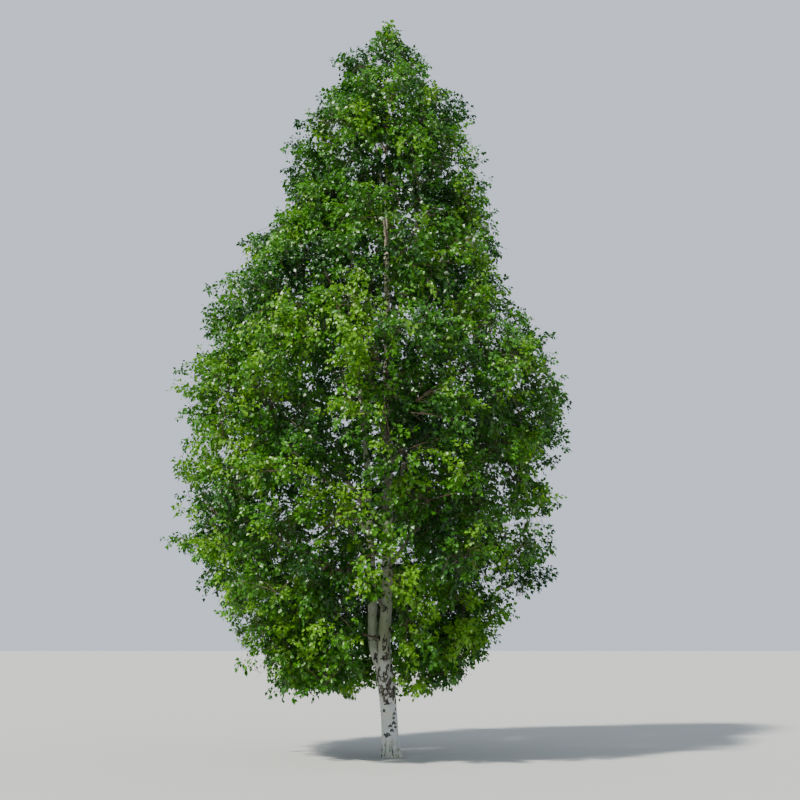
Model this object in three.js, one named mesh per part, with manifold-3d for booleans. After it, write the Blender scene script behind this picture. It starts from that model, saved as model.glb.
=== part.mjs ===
// A birch tree in full leaf. A white trunk flares at the foot and forks low into a leader and a second stem.
// Boughs climb round both in a spiral, and each ends in a mass of twigs and sprays of leaves.
// Millimetres, +Z up. The origin is the middle of the flat cut at ground level, and the front faces -Y.
import * as THREE from 'three';
import { mergeVertices } from 'three/addons/utils/BufferGeometryUtils.js';
import Module from 'manifold-3d';

const wasm = await Module();
wasm.setup();

const treeHeight = 11800;
const touchGap = 0.3; // between a limb and the piece that carries it
const cutGap = 0.4; // round a limb, where it is cut out of the piece that it carries
const degree = Math.PI / 180;
const goldenAngle = 137.508 * degree;

// How far the crown reaches to the left (-X) and to the right (+X) of the foot, by height
const crownProfile = [
  { height: 900, left: 1850, right: 1000 },
  { height: 1350, left: 2200, right: 1450 },
  { height: 2300, left: 2780, right: 2200 },
  { height: 3100, left: 3300, right: 2480 },
  { height: 4300, left: 3330, right: 2600 },
  { height: 5400, left: 3450, right: 2850 },
  { height: 6300, left: 3250, right: 2450 },
  { height: 7200, left: 2780, right: 2050 },
  { height: 8300, left: 1980, right: 1780 },
  { height: 9400, left: 1760, right: 1600 },
  { height: 10200, left: 1400, right: 1300 },
  { height: 11000, left: 880, right: 780 },
  { height: 11500, left: 430, right: 380 },
  { height: treeHeight, left: 260, right: 230 },
];

// The centre line of the trunk: a slight lean to the left up to the fork, then nearly plumb
const leaderLine = [
  { height: 0, x: 0, y: 0 },
  { height: 650, x: -34, y: 4 },
  { height: 1270, x: -92, y: 0 },
  { height: 1750, x: -100, y: -14 },
  { height: 2400, x: -58, y: -24 },
  { height: 5000, x: -60, y: 10 },
  { height: 7400, x: -76, y: -12 },
  { height: 8300, x: -94, y: 0 },
  { height: 10950, x: -70, y: 0 },
];
const leader = {
  top: 10950, topRadius: 9, buttRadius: 121, flare: 46, flareHeight: 130,
  forkSwell: 20, forkHeight: 1110, forkSpread: 170, aboveFork: 94, aboveForkHeight: 1500,
  sides: 12, rings: 20, crowding: 1.7, // the rings lie closer towards the foot
};

// The second stem leaves the fork to the left and a little behind, then runs up beside the leader
const secondLine = [
  { height: 1020, x: -62, y: 10 },
  { height: 1500, x: -246, y: 84 },
  { height: 1800, x: -280, y: 100 },
  { height: 2400, x: -288, y: 112 },
  { height: 4900, x: -430, y: 170 },
  { height: 7900, x: -860, y: 330 },
];
const second = {
  foot: 1020, top: 7900, footRadius: 80, topRadius: 13, azimuth: 160 * degree, sides: 8, rings: 10, crowding: 1.5,
};

const bough = {
  count: 27, seed: 1923, firstAzimuth: 200 * degree, azimuthJitter: 16 * degree,
  lowestRoot: 1640, rootStep: 62, lowestTip: 1300, highestTip: 10900,
  riseAtFoot: -10 * degree, riseAtTop: 56 * degree, leaveSteeper: 24 * degree, steepest: 68 * degree,
  share: 0.34, // of the way out, where it enters its mass
  tipInside: 0.62, // of a spray's length, from its tip to the outside of the crown
  thinnest: 5, thickness: 0.0105, tipThickness: 0.3, sides: 6, rings: 3,
};
// Boughs that head within this angle of the second stem, between these heights, grow from it
const secondBearing = { spread: 62 * degree, lowest: 2100, highest: 7300 };

// The two masses that crown the stems: where their own stems end, and how straight they start
const topMass = { startsStraight: 0.45, leaderTip: [-72, 0, 11390], secondTip: [-1330, 470, 8900], secondShare: 0.72 };

const stem = { sides: 3, rings: 3, endRadius: 8 }; // of a mass
const twig = {
  count: 5, first: 0.08, last: 0.84, leaveAngle: 60 * degree, leaveAngleAtTip: 40 * degree,
  longest: 1050, shortest: 380, lengthJitter: 0.22, radius: 6, tipRadius: 5,
  lift: 0.2, droopBelow: 0.16, rollJitter: 20 * degree, trimStep: 0.2, shortestTrim: 0.35,
};
// One blade stands for a whole spray of leaves
const spray = {
  longest: 1160, shortest: 700, widthShare: 0.92, thicknessShare: 0.02, widestAt: 0.44, sunk: 6,
  leaveAngle: 54 * degree, leaveAngleAtTip: 7 * degree, rollJitter: 92 * degree,
  turnJitter: 32 * degree, turnJitterAtTip: 90 * degree, lengthJitter: 0.1,
  places: [1, 0.7, 0.42, 0.14], trimStep: 0.06, shortestTrim: 0.5, most: 16,
};
const room = {
  besideMass: 26, besideLimb: 66, twigBesideLimb: 26, besideTwig: 58, besideBlade: 78, overReach: 1.015,
  pointStep: 0.1, acrossStep: 1 / 3, limbPieces: 24,
};
// The foot of the crown is open in front of the two stems
const openFront = { middle: -175, halfWidth: 215, top: 2200 };

// Numbers between 0 and 1 that come out the same for the same seed
function makeDice(seed) {
  let state = seed >>> 0;
  return () => {
    state = (state + 0x6d2b79f5) >>> 0;
    let mixed = Math.imul(state ^ (state >>> 15), state | 1);
    mixed ^= mixed + Math.imul(mixed ^ (mixed >>> 7), mixed | 61);
    return ((mixed ^ (mixed >>> 14)) >>> 0) / 4294967296;
  };
}

const mix = (a, b, share) => a + (b - a) * share;
const clamp = (value, low, high) => Math.min(high, Math.max(low, value));
const either = (dice, most) => (dice() - 0.5) * 2 * most; // up to most, to either side

// A smooth curve through rows of a table that are ordered by height
function smoothAt(rows, height, key) {
  const last = rows.length - 1;
  const place = clamp(height, rows[0].height, rows[last].height);
  let k = 0;
  while (k < last - 1 && place > rows[k + 1].height) k += 1;
  const slope = (i) => {
    const before = rows[Math.max(0, i - 1)];
    const after = rows[Math.min(last, i + 1)];
    return (after[key] - before[key]) / (after.height - before.height);
  };
  const span = rows[k + 1].height - rows[k].height;
  const t = (place - rows[k].height) / span;
  const rise = t * t * (3 - 2 * t);
  return mix(rows[k][key], rows[k + 1][key], rise)
    + span * (slope(k) * t * (1 - t) * (1 - t) - slope(k + 1) * t * t * (1 - t));
}

function crownReach(height, azimuth) {
  const left = smoothAt(crownProfile, height, 'left');
  const right = smoothAt(crownProfile, height, 'right');
  return (left + right) / 2 + ((right - left) / 2) * Math.cos(azimuth);
}

function lineAt(rows, height) {
  return new THREE.Vector3(smoothAt(rows, height, 'x'), smoothAt(rows, height, 'y'), height);
}

function leaderRadius(height) {
  if (height > leader.aboveForkHeight) {
    const share = (height - leader.aboveForkHeight) / (leader.top - leader.aboveForkHeight);
    return mix(leader.aboveFork, leader.topRadius, share);
  }
  const flare = leader.flare * Math.exp(-height / leader.flareHeight);
  const swell = leader.forkSwell * Math.exp(-(((height - leader.forkHeight) / leader.forkSpread) ** 2));
  const neck = clamp((height - leader.forkHeight) / (leader.aboveForkHeight - leader.forkHeight), 0, 1);
  return mix(leader.buttRadius, leader.aboveFork, neck) + flare + swell * (1 - neck);
}

function secondRadius(height) {
  return mix(second.footRadius, second.topRadius, (height - second.foot) / (second.top - second.foot));
}

// Solids

function solidOf(geometry) {
  geometry.deleteAttribute('normal');
  geometry.deleteAttribute('uv');
  const merged = mergeVertices(geometry, 1e-3);
  return new wasm.Manifold(new wasm.Mesh({
    numProp: 3,
    vertProperties: merged.attributes.position.array,
    triVerts: new Uint32Array(merged.index.array),
  }));
}

function geometryOf(solid) {
  const { vertProperties, triVerts } = solid.getMesh();
  const geometry = new THREE.BufferGeometry();
  geometry.setAttribute('position', new THREE.BufferAttribute(vertProperties, 3));
  geometry.setIndex(new THREE.BufferAttribute(triVerts, 1));
  geometry.computeVertexNormals();
  return geometry;
}

// A cylinder bent and tapered along a line. ringAt gives each ring's centre, heading, half axis and radius.
function bentCylinder(ringAt, sides, rings) {
  const geometry = new THREE.CylinderGeometry(1, 1, 1, sides, rings);
  const position = geometry.getAttribute('position');
  for (let i = 0; i < position.count; i += 1) {
    const ring = ringAt(clamp(position.getY(i) + 0.5, 0, 1));
    const third = new THREE.Vector3().crossVectors(ring.across, ring.along);
    const place = ring.centre.clone()
      .addScaledVector(ring.across, position.getX(i) * ring.radius)
      .addScaledVector(third, position.getZ(i) * ring.radius);
    position.setXYZ(i, place.x, place.y, place.z);
  }
  return solidOf(geometry);
}

// An upright limb in level rings, so that its foot is a flat cut
function uprightLimb(rows, radiusAt, from, to, limb, grown) {
  const across = new THREE.Vector3(1, 0, 0);
  const along = new THREE.Vector3(0, 0, 1);
  return bentCylinder((share) => {
    const height = mix(from, to, share ** limb.crowding);
    return { centre: lineAt(rows, height), along, across, radius: radiusAt(height) + grown };
  }, limb.sides, limb.rings);
}

const leaderSolid = (grown) => uprightLimb(leaderLine, leaderRadius, 0, leader.top, leader, grown);
const secondSolid = (grown) => uprightLimb(secondLine, secondRadius, second.foot, second.top, second, grown);

function sideways(direction) {
  const pole = Math.abs(direction.z) > 0.95 ? new THREE.Vector3(1, 0, 0) : new THREE.Vector3(0, 0, 1);
  const across = new THREE.Vector3().crossVectors(direction, pole).normalize();
  return { across, over: new THREE.Vector3().crossVectors(across, direction).normalize() };
}

// A limb along a curve, with rings square to it between two shares of its way
function curvedLimb(limb, from, to, radiusAt, sides, rings) {
  return bentCylinder((share) => {
    const t = mix(from, to, share);
    return { centre: limb.pointAt(t), along: limb.headingAt(t), across: limb.across, radius: radiusAt(share) };
  }, sides, rings);
}

function straightTwig({ root, end, heading }) {
  const { across } = sideways(heading);
  return bentCylinder((share) => ({
    centre: root.clone().lerp(end, share), along: heading, across, radius: mix(twig.radius, twig.tipRadius, share),
  }), 3, 1);
}

// A blade of eight faces, with its root sunk in the twig
function sprayBlade(blade) {
  const geometry = new THREE.OctahedronGeometry(1, 0);
  const position = geometry.getAttribute('position');
  const start = blade.root.clone().addScaledVector(blade.along, -spray.sunk);
  const shares = [0, spray.widestAt, 1];
  for (let i = 0; i < position.count; i += 1) {
    const place = start.clone()
      .addScaledVector(blade.along, shares[Math.round(position.getY(i)) + 1] * (blade.length + spray.sunk))
      .addScaledVector(blade.across, position.getX(i) * blade.width / 2)
      .addScaledVector(blade.face, position.getZ(i) * blade.length * spray.thicknessShare / 2);
    position.setXYZ(i, place.x, place.y, place.z);
  }
  return solidOf(geometry);
}

const largestOf = (solid) => solid.decompose().sort((a, b) => b.volume() - a.volume())[0];

// Limbs

// Heights that share the crown's surface out evenly among the boughs
function evenHeights(count) {
  const slices = 400;
  const heightOf = (k) => mix(bough.lowestTip, bough.highestTip, (k + 0.5) / slices);
  const surface = [];
  let total = 0;
  for (let k = 0; k < slices; k += 1) {
    total += crownReach(heightOf(k), Math.PI / 2);
    surface.push(total);
  }
  return Array.from({ length: count }, (_, i) => {
    const goal = total * (i + 0.5) / count;
    return heightOf(surface.findIndex((sum) => sum >= goal));
  });
}

// A curve in one upright plane, from its root to its tip, by one control point
function arc(root, control, tip, azimuth) {
  const across = new THREE.Vector3(-Math.sin(azimuth), Math.cos(azimuth), 0);
  const pointAt = (t) => new THREE.Vector3()
    .addScaledVector(root, (1 - t) * (1 - t))
    .addScaledVector(control, 2 * t * (1 - t))
    .addScaledVector(tip, t * t);
  const headingAt = (t) => new THREE.Vector3()
    .addScaledVector(control.clone().sub(root), 1 - t)
    .addScaledVector(tip.clone().sub(control), t)
    .normalize();
  const length = (root.distanceTo(control) + control.distanceTo(tip) + root.distanceTo(tip)) / 2;
  return { pointAt, headingAt, across, length };
}

function planBoughs() {
  const dice = makeDice(bough.seed);
  return evenHeights(bough.count).map((tipHeight, i) => {
    const heading = bough.firstAzimuth + i * goldenAngle + either(dice, bough.azimuthJitter);
    const share = (tipHeight - bough.lowestTip) / (bough.highestTip - bough.lowestTip);
    const sprayLength = mix(spray.longest, spray.shortest, share);
    const reach = crownReach(tipHeight, heading) - bough.tipInside * sprayLength;
    const rise = mix(bough.riseAtFoot, bough.riseAtTop, Math.sqrt(share));
    const tip = new THREE.Vector3(reach * Math.cos(heading), reach * Math.sin(heading), tipHeight);
    const rootHeight = Math.max(tipHeight - reach * Math.tan(rise), bough.lowestRoot + i * bough.rootStep);
    const turn = Math.atan2(Math.sin(heading - second.azimuth), Math.cos(heading - second.azimuth));
    const fromSecond = Math.abs(turn) < secondBearing.spread
      && rootHeight > secondBearing.lowest && rootHeight < secondBearing.highest;
    const root = lineAt(fromSecond ? secondLine : leaderLine, rootHeight);
    const halfWay = Math.hypot(tip.x - root.x, tip.y - root.y) / 2;
    const azimuth = Math.atan2(tip.y - root.y, tip.x - root.x);
    const leave = Math.min(Math.max(rise, 0) + bough.leaveSteeper, bough.steepest);
    const control = new THREE.Vector3(
      root.x + halfWay * Math.cos(azimuth),
      root.y + halfWay * Math.sin(azimuth),
      root.z + halfWay * Math.tan(leave),
    );
    const curve = arc(root, control, tip, azimuth);
    const rootRadius = bough.thinnest + bough.thickness * curve.length;
    return {
      name: `bough_${String(i + 1).padStart(2, '0')}`, curve, fromSecond, sprayLength, share,
      radiusAt: (t) => mix(rootRadius, rootRadius * bough.tipThickness, t),
    };
  });
}

// Masses of foliage

// A mass on top of an upright stem, with its own stem running on to a tip
function planTopMass(name, rows, top, startRadius, tipPlace, share) {
  const root = lineAt(rows, top);
  const tip = new THREE.Vector3(...tipPlace);
  const onward = root.clone().sub(lineAt(rows, top - root.distanceTo(tip)));
  const control = root.clone().add(onward.setLength(topMass.startsStraight * root.distanceTo(tip)));
  const curve = arc(root, control, tip, Math.atan2(tip.y - root.y, tip.x - root.x));
  const heading = curve.headingAt(0);
  // The cut under a leaning stem is level, which lifts one side of its foot
  const clear = touchGap + startRadius * Math.hypot(heading.x, heading.y) / heading.z;
  return { name, curve, from: 0, clear, share, startRadius, sprayLength: mix(spray.longest, spray.shortest, share) };
}

// The masses: one on each bough, one on the leader's top and one on the second stem's
function planMasses(boughs) {
  const masses = boughs.map((limb, i) => ({
    name: `foliage_${String(i + 1).padStart(2, '0')}`, curve: limb.curve, from: bough.share, clear: touchGap,
    share: limb.share, startRadius: limb.radiusAt(bough.share), sprayLength: limb.sprayLength,
  }));
  masses.push(
    planTopMass('foliage_leader_top', leaderLine, leader.top, leader.topRadius, topMass.leaderTip, 1),
    planTopMass('foliage_second_top', secondLine, second.top, second.topRadius, topMass.secondTip,
      topMass.secondShare),
  );
  for (const mass of masses) {
    const step = 0.001;
    const speed = mass.curve.pointAt(mass.from).distanceTo(mass.curve.pointAt(mass.from + step)) / step;
    mass.from += mass.clear / speed;
    mass.line = Array.from({ length: stem.rings + 1 }, (_, k) => (
      mass.curve.pointAt(mix(mass.from, 1, k / stem.rings))));
  }
  return masses;
}

// A point on the stem of a mass, which is straight from ring to ring
function stemPoint(mass, share) {
  const place = share * stem.rings;
  const k = Math.min(stem.rings - 1, Math.floor(place));
  return mass.line[k].clone().lerp(mass.line[k + 1], place - k);
}

const nearest = new THREE.Vector3();
const segment = new THREE.Line3();
function distanceToLine(point, line) {
  let best = Infinity;
  for (let k = 0; k + 1 < line.length; k += 1) {
    segment.set(line[k], line[k + 1]).closestPointToPoint(point, true, nearest);
    best = Math.min(best, nearest.distanceTo(point));
  }
  return best;
}

// How far a point lies from the bark of the nearest limb
function gapToLimbs(point, limbs) {
  let best = Infinity;
  for (const limb of limbs) {
    for (let k = 0; k + 1 < limb.line.length; k += 1) {
      segment.set(limb.line[k], limb.line[k + 1]);
      const t = segment.closestPointToPointParameter(point, true);
      const gap = segment.at(t, nearest).distanceTo(point) - mix(limb.radii[k], limb.radii[k + 1], t);
      best = Math.min(best, gap);
    }
  }
  return best;
}

function insideCrown(point) {
  if (point.z < crownProfile[0].height || point.z > treeHeight) return false;
  const reach = crownReach(point.z, Math.atan2(point.y, point.x));
  if (Math.hypot(point.x, point.y) > reach * room.overReach) return false;
  const inFront = point.y < 0 && Math.abs(point.x - openFront.middle) < openFront.halfWidth;
  return !(inFront && point.z < openFront.top);
}

// Whether points lie inside the crown, in the space of their own mass and clear of every limb
function fits(points, mass, masses, limbs, limbGap) {
  return points.every((point) => {
    if (!insideCrown(point)) return false;
    const own = distanceToLine(point, mass.line) + room.besideMass;
    if (masses.some((other) => other !== mass && distanceToLine(point, other.line) < own)) return false;
    return gapToLimbs(point, limbs) > limbGap;
  });
}

// Points all over a blade, close enough together that no limb slips between them
function bladePoints(blade) {
  const points = [];
  for (let share = room.pointStep; share < 1.001; share += room.pointStep) {
    const narrowing = share < spray.widestAt ? share / spray.widestAt : (1 - share) / (1 - spray.widestAt);
    for (let side = -1; side < 1.001; side += room.acrossStep) {
      points.push(blade.root.clone()
        .addScaledVector(blade.along, share * blade.length)
        .addScaledVector(blade.across, side * narrowing * blade.width / 2));
    }
  }
  return points;
}

// A direction that leaves another by an angle, turned round it by a roll
function leaving(direction, angle, roll) {
  const { across, over } = sideways(direction);
  return direction.clone().multiplyScalar(Math.cos(angle))
    .addScaledVector(across, Math.sin(angle) * Math.cos(roll))
    .addScaledVector(over, Math.sin(angle) * Math.sin(roll))
    .normalize();
}

// A blade's flat lies with its twig, turned out of that plane by a roll
function makeBlade(root, along, carrierHeading, roll, length) {
  const level = new THREE.Vector3().crossVectors(carrierHeading, along).normalize();
  const flat = new THREE.Vector3().crossVectors(along, level).normalize();
  const across = flat.multiplyScalar(Math.cos(roll)).addScaledVector(level, Math.sin(roll));
  const face = new THREE.Vector3().crossVectors(across, along).normalize();
  return { root, along, across, face, length, width: length * spray.widthShare };
}

// Twigs leave the stem of a mass in a spiral, shorter towards its tip. Each is cut back until it fits.
function growTwigs(mass, dice, masses, limbs) {
  const scale = mass.sprayLength / spray.longest;
  const lift = mass.share > twig.droopBelow ? twig.lift : -twig.lift;
  const startRoll = dice() * 2 * Math.PI;
  const twigs = [];
  for (let k = 0; k < twig.count; k += 1) {
    const place = mix(twig.first, twig.last, k / (twig.count - 1));
    const root = stemPoint(mass, place);
    const angle = mix(twig.leaveAngle, twig.leaveAngleAtTip, place);
    const roll = startRoll + k * goldenAngle + either(dice, twig.rollJitter);
    const length = mix(twig.longest, twig.shortest, place) * scale * (1 + either(dice, twig.lengthJitter));
    const heading = leaving(mass.curve.headingAt(mix(mass.from, 1, place)), angle, roll);
    heading.z += lift;
    heading.normalize();
    for (let trim = 1; trim > twig.shortestTrim; trim -= twig.trimStep) {
      const end = root.clone().addScaledVector(heading, length * trim);
      const way = [0.5, 0.75, 1].map((share) => root.clone().lerp(end, share));
      if (fits(way, mass, masses, limbs, room.twigBesideLimb)) {
        twigs.push({ root, end, heading, line: [root, end] });
        break;
      }
    }
  }
  return twigs;
}

// Twigs and blades of one mass, by rule from its stem. Every draw is made whether or not the piece fits.
function growMass(mass, seed, masses, limbs) {
  const dice = makeDice(seed);
  const twigs = growTwigs(mass, dice, masses, limbs);
  const carriers = [
    { root: mass.line[0], end: mass.curve.pointAt(1), heading: mass.curve.headingAt(1), line: mass.line },
    ...twigs,
  ];
  const blades = [];
  spray.places.forEach((place, n) => carriers.forEach((carrier, c) => {
    const atTip = place === 1;
    const roll = n * Math.PI + c + dice() * spray.rollJitter;
    const turn = either(dice, atTip ? spray.turnJitterAtTip : spray.turnJitter);
    const length = mass.sprayLength * (1 + either(dice, spray.lengthJitter));
    if (blades.length >= spray.most || (c === 0 && !atTip)) return;
    const root = carrier.root.clone().lerp(carrier.end, place);
    const along = leaving(carrier.heading, atTip ? spray.leaveAngleAtTip : spray.leaveAngle, roll);
    for (let trim = 1; trim > spray.shortestTrim; trim -= spray.trimStep) {
      const blade = makeBlade(root, along, carrier.heading, turn, length * trim);
      const points = bladePoints(blade);
      const clearOf = (other) => points.every((point) => (
        other.points.every((spot) => spot.distanceTo(point) > room.besideBlade)));
      const free = fits(points, mass, masses, limbs, room.besideLimb)
        && carriers.every(({ line }, i) => (
          i === c || points.every((point) => distanceToLine(point, line) > room.besideTwig)))
        && blades.every(clearOf);
      if (free) {
        blades.push({ ...blade, points });
        return;
      }
    }
  }));
  return { twigs, blades };
}

function massSolid(mass, { twigs, blades }) {
  const startRadius = Math.max(mass.startRadius, stem.endRadius);
  const radiusAt = (share) => mix(startRadius, stem.endRadius, share);
  return largestOf(wasm.Manifold.union([
    curvedLimb(mass.curve, mass.from, 1, radiusAt, stem.sides, stem.rings),
    ...twigs.map(straightTwig),
    ...blades.map(sprayBlade),
  ]));
}

// The tree

const bark = new THREE.MeshStandardMaterial({ color: 0xd9d5c8, roughness: 0.75, metalness: 0 });
const boughBark = new THREE.MeshStandardMaterial({ color: 0x8a7c6c, roughness: 0.8, metalness: 0 });
const leafGreen = new THREE.MeshStandardMaterial({ color: 0x4f7a1e, roughness: 0.55, metalness: 0 });

const tree = new THREE.Group();
tree.name = 'birch_tree';

function addPiece(name, solid, material) {
  const mesh = new THREE.Mesh(geometryOf(solid), material);
  mesh.name = name;
  tree.add(mesh);
}

// A limb as a row of points and radii, to keep foliage clear of it
function limbLine(pointAt, radiusAt, from, to) {
  const places = Array.from({ length: room.limbPieces + 1 }, (_, k) => mix(from, to, k / room.limbPieces));
  return { line: places.map(pointAt), radii: places.map(radiusAt) };
}

addPiece('trunk', leaderSolid(0), bark);
addPiece('second_stem', largestOf(secondSolid(0).subtract(leaderSolid(cutGap))), bark);

const limbs = [
  limbLine((height) => lineAt(leaderLine, height), leaderRadius, 0, leader.top),
  limbLine((height) => lineAt(secondLine, height), secondRadius, second.foot, second.top),
];
const boughs = planBoughs();
for (const limb of boughs) {
  const radiusAt = (share) => limb.radiusAt(share * bough.share);
  const whole = curvedLimb(limb.curve, 0, bough.share, radiusAt, bough.sides, bough.rings);
  const parent = limb.fromSecond ? secondSolid(cutGap) : leaderSolid(cutGap);
  addPiece(limb.name, largestOf(whole.subtract(parent)), boughBark);
  limbs.push(limbLine(limb.curve.pointAt, limb.radiusAt, 0, bough.share));
}

const masses = planMasses(boughs);
masses.forEach((mass, index) => {
  const grown = growMass(mass, bough.seed + 101 * (index + 1), masses, limbs);
  addPiece(mass.name, massSolid(mass, grown), leafGreen);
});

export default tree;
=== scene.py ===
import math
import bpy
import numpy as np
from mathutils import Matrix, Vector, noise


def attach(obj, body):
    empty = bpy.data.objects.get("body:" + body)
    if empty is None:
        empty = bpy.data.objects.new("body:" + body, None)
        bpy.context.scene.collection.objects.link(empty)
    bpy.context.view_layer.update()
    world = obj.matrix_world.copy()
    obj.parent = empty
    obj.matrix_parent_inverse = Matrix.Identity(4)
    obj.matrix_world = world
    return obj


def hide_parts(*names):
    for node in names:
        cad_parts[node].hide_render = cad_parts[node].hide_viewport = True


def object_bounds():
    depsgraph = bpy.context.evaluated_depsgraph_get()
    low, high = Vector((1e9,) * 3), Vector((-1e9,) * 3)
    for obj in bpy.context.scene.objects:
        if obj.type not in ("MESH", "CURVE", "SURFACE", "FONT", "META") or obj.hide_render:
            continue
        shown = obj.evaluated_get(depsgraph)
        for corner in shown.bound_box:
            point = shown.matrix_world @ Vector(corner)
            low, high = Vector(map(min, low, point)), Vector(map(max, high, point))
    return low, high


# A birch tree in full leaf, 11.8 m tall. Metres, +Z up, the photograph is taken from -Y.
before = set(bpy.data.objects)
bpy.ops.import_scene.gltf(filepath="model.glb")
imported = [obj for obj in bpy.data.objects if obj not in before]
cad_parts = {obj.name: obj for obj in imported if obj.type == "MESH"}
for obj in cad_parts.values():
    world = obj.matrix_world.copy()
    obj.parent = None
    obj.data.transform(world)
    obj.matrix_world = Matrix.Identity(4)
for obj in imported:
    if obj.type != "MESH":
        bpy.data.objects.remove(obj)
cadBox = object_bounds()
print("frame loaded,", len(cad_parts), "nodes")

degree = math.pi / 180
goldenAngle = 137.508 * degree


# Camera, floor and light

view = {
    "cameraX": 0.131, "distance": 17.742, "eyeHeight": 1.6, "pitchUp": 11.856 * degree,
    "lens": 35, "sensor": 24, "floorSize": 600, "clipEnd": 900,
}
light = {
    "sunFrom": (-0.48, -0.48, 0.76), "sunStrength": 8.8, "sunAngle": 4 * degree,
    "sunColor": (1, 0.96, 0.88), "worldColor": (0.80, 0.88, 1.0), "worldStrength": 0.94,
    "floorColor": (0.36, 0.37, 0.355), "floorRoughness": 0.9,
}


def makeStage():
    bpy.ops.object.select_all(action="DESELECT")
    bpy.ops.object.camera_add(
        location=(view["cameraX"], -view["distance"], view["eyeHeight"]),
        rotation=(math.pi / 2 + view["pitchUp"], 0, 0),
    )
    camera = bpy.context.object
    camera.name = "photoCamera"
    camera.data.lens = view["lens"]
    camera.data.sensor_width = view["sensor"]
    camera.data.clip_end = view["clipEnd"]
    bpy.context.scene.camera = camera

    bpy.ops.mesh.primitive_plane_add(size=view["floorSize"])
    floor = bpy.context.object
    floor.name = "paleFloor"
    floor.data.materials.append(plainMaterial("paleFloor", light["floorColor"], light["floorRoughness"]))

    bpy.ops.object.light_add(type="SUN")
    sun = bpy.context.object
    sun.name = "softSun"
    sun.rotation_euler = Vector(light["sunFrom"]).to_track_quat("Z", "Y").to_euler()
    sun.data.energy = light["sunStrength"]
    sun.data.angle = light["sunAngle"]
    sun.data.color = light["sunColor"]

    world = bpy.data.worlds.new("paleSky")
    world.use_nodes = True
    background = world.node_tree.nodes["Background"]
    background.inputs["Color"].default_value = (*light["worldColor"], 1)
    background.inputs["Strength"].default_value = light["worldStrength"]
    bpy.context.scene.world = world


def plainMaterial(name, color, roughness):
    material = bpy.data.materials.new(name)
    material.use_nodes = True
    shader = material.node_tree.nodes["Principled BSDF"]
    shader.inputs["Base Color"].default_value = (*color, 1)
    shader.inputs["Roughness"].default_value = roughness
    return material


# The form of the tree, by the same rule as its solids

treeHeight = 11.8
crownProfile = (  # height, and how far the crown reaches to the left and to the right of the foot
    (0.9, 1.85, 1.0), (1.35, 2.2, 1.45), (2.3, 2.78, 2.2), (3.1, 3.3, 2.48), (4.3, 3.33, 2.6),
    (5.4, 3.45, 2.85), (6.3, 3.25, 2.45), (7.2, 2.78, 2.05), (8.3, 1.98, 1.78), (9.4, 1.76, 1.6),
    (10.2, 1.4, 1.3), (11.0, 0.88, 0.78), (11.5, 0.43, 0.38), (treeHeight, 0.26, 0.23),
)
leaderLine = (  # height, x, y: a slight lean to the left up to the fork, then nearly plumb
    (0, 0, 0), (0.65, -0.034, 0.004), (1.27, -0.092, 0), (1.75, -0.1, -0.014), (2.4, -0.058, -0.024),
    (5.0, -0.06, 0.01), (7.4, -0.076, -0.012), (8.3, -0.094, 0), (10.95, -0.07, 0),
)
leader = {
    "top": 10.95, "topRadius": 0.009, "buttRadius": 0.121, "flare": 0.046, "flareHeight": 0.13,
    "forkSwell": 0.02, "forkHeight": 1.11, "forkSpread": 0.17, "aboveFork": 0.094,
    "aboveForkHeight": 1.5,
}
secondLine = (  # leaves the fork to the left and a little behind
    (1.02, -0.062, 0.01), (1.5, -0.246, 0.084), (1.8, -0.28, 0.1), (2.4, -0.288, 0.112),
    (4.9, -0.43, 0.17), (7.9, -0.86, 0.33),
)
second = {"foot": 1.02, "top": 7.9, "footRadius": 0.08, "topRadius": 0.013, "azimuth": 160 * degree}
bough = {
    "count": 27, "seed": 1923, "seedStep": 101, "firstAzimuth": 200 * degree,
    "azimuthJitter": 16 * degree, "lowestRoot": 1.64, "rootStep": 0.062, "lowestTip": 1.3,
    "highestTip": 10.9, "riseAtFoot": -10 * degree, "riseAtTop": 56 * degree,
    "leaveSteeper": 24 * degree, "steepest": 68 * degree, "share": 0.34, "tipInside": 0.62,
    "thinnest": 0.005, "thickness": 0.0105, "tipThickness": 0.3, "slices": 400,
}
secondBearing = {"spread": 62 * degree, "lowest": 2.1, "highest": 7.3}
topMass = {
    "startsStraight": 0.45, "leaderTip": (-0.072, 0, 11.39), "secondTip": (-1.33, 0.47, 8.9),
    "secondShare": 0.72,
}
stem = {"rings": 3, "gap": 0.0003}
twig = {
    "count": 5, "first": 0.08, "last": 0.84, "leaveAngle": 60 * degree, "leaveAngleAtTip": 40 * degree,
    "longest": 1.05, "shortest": 0.38, "lengthJitter": 0.22, "lift": 0.2, "droopBelow": 0.16,
    "rollJitter": 20 * degree, "trimStep": 0.2, "shortestTrim": 0.35,
}
spray = {"longest": 1.16, "shortest": 0.7}
room = {
    "besideMass": 0.026, "twigBesideLimb": 0.026, "overReach": 1.015, "limbPieces": 24,
    "pastBox": 0.085, "lowEdge": 1.2, "hang": 0.12,
}
testedAt = (0.5, 0.75, 1)  # where along a new twig its room is tested
openFront = {"middle": -0.175, "halfWidth": 0.215, "top": 2.2}  # in front of the two stems


def makeDice(seed):
    # numbers between 0 and 1 that come out the same for the same seed
    state = seed & 0xFFFFFFFF

    def roll():
        nonlocal state
        state = (state + 0x6D2B79F5) & 0xFFFFFFFF
        mixed = ((state ^ (state >> 15)) * (state | 1)) & 0xFFFFFFFF
        mixed ^= (mixed + (((mixed ^ (mixed >> 7)) * (mixed | 61)) & 0xFFFFFFFF)) & 0xFFFFFFFF
        return ((mixed ^ (mixed >> 14)) & 0xFFFFFFFF) / 4294967296

    return roll


def mix(a, b, share):
    return a + (b - a) * share


def either(dice, most):
    return (dice() - 0.5) * 2 * most  # up to most, to either side


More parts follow.
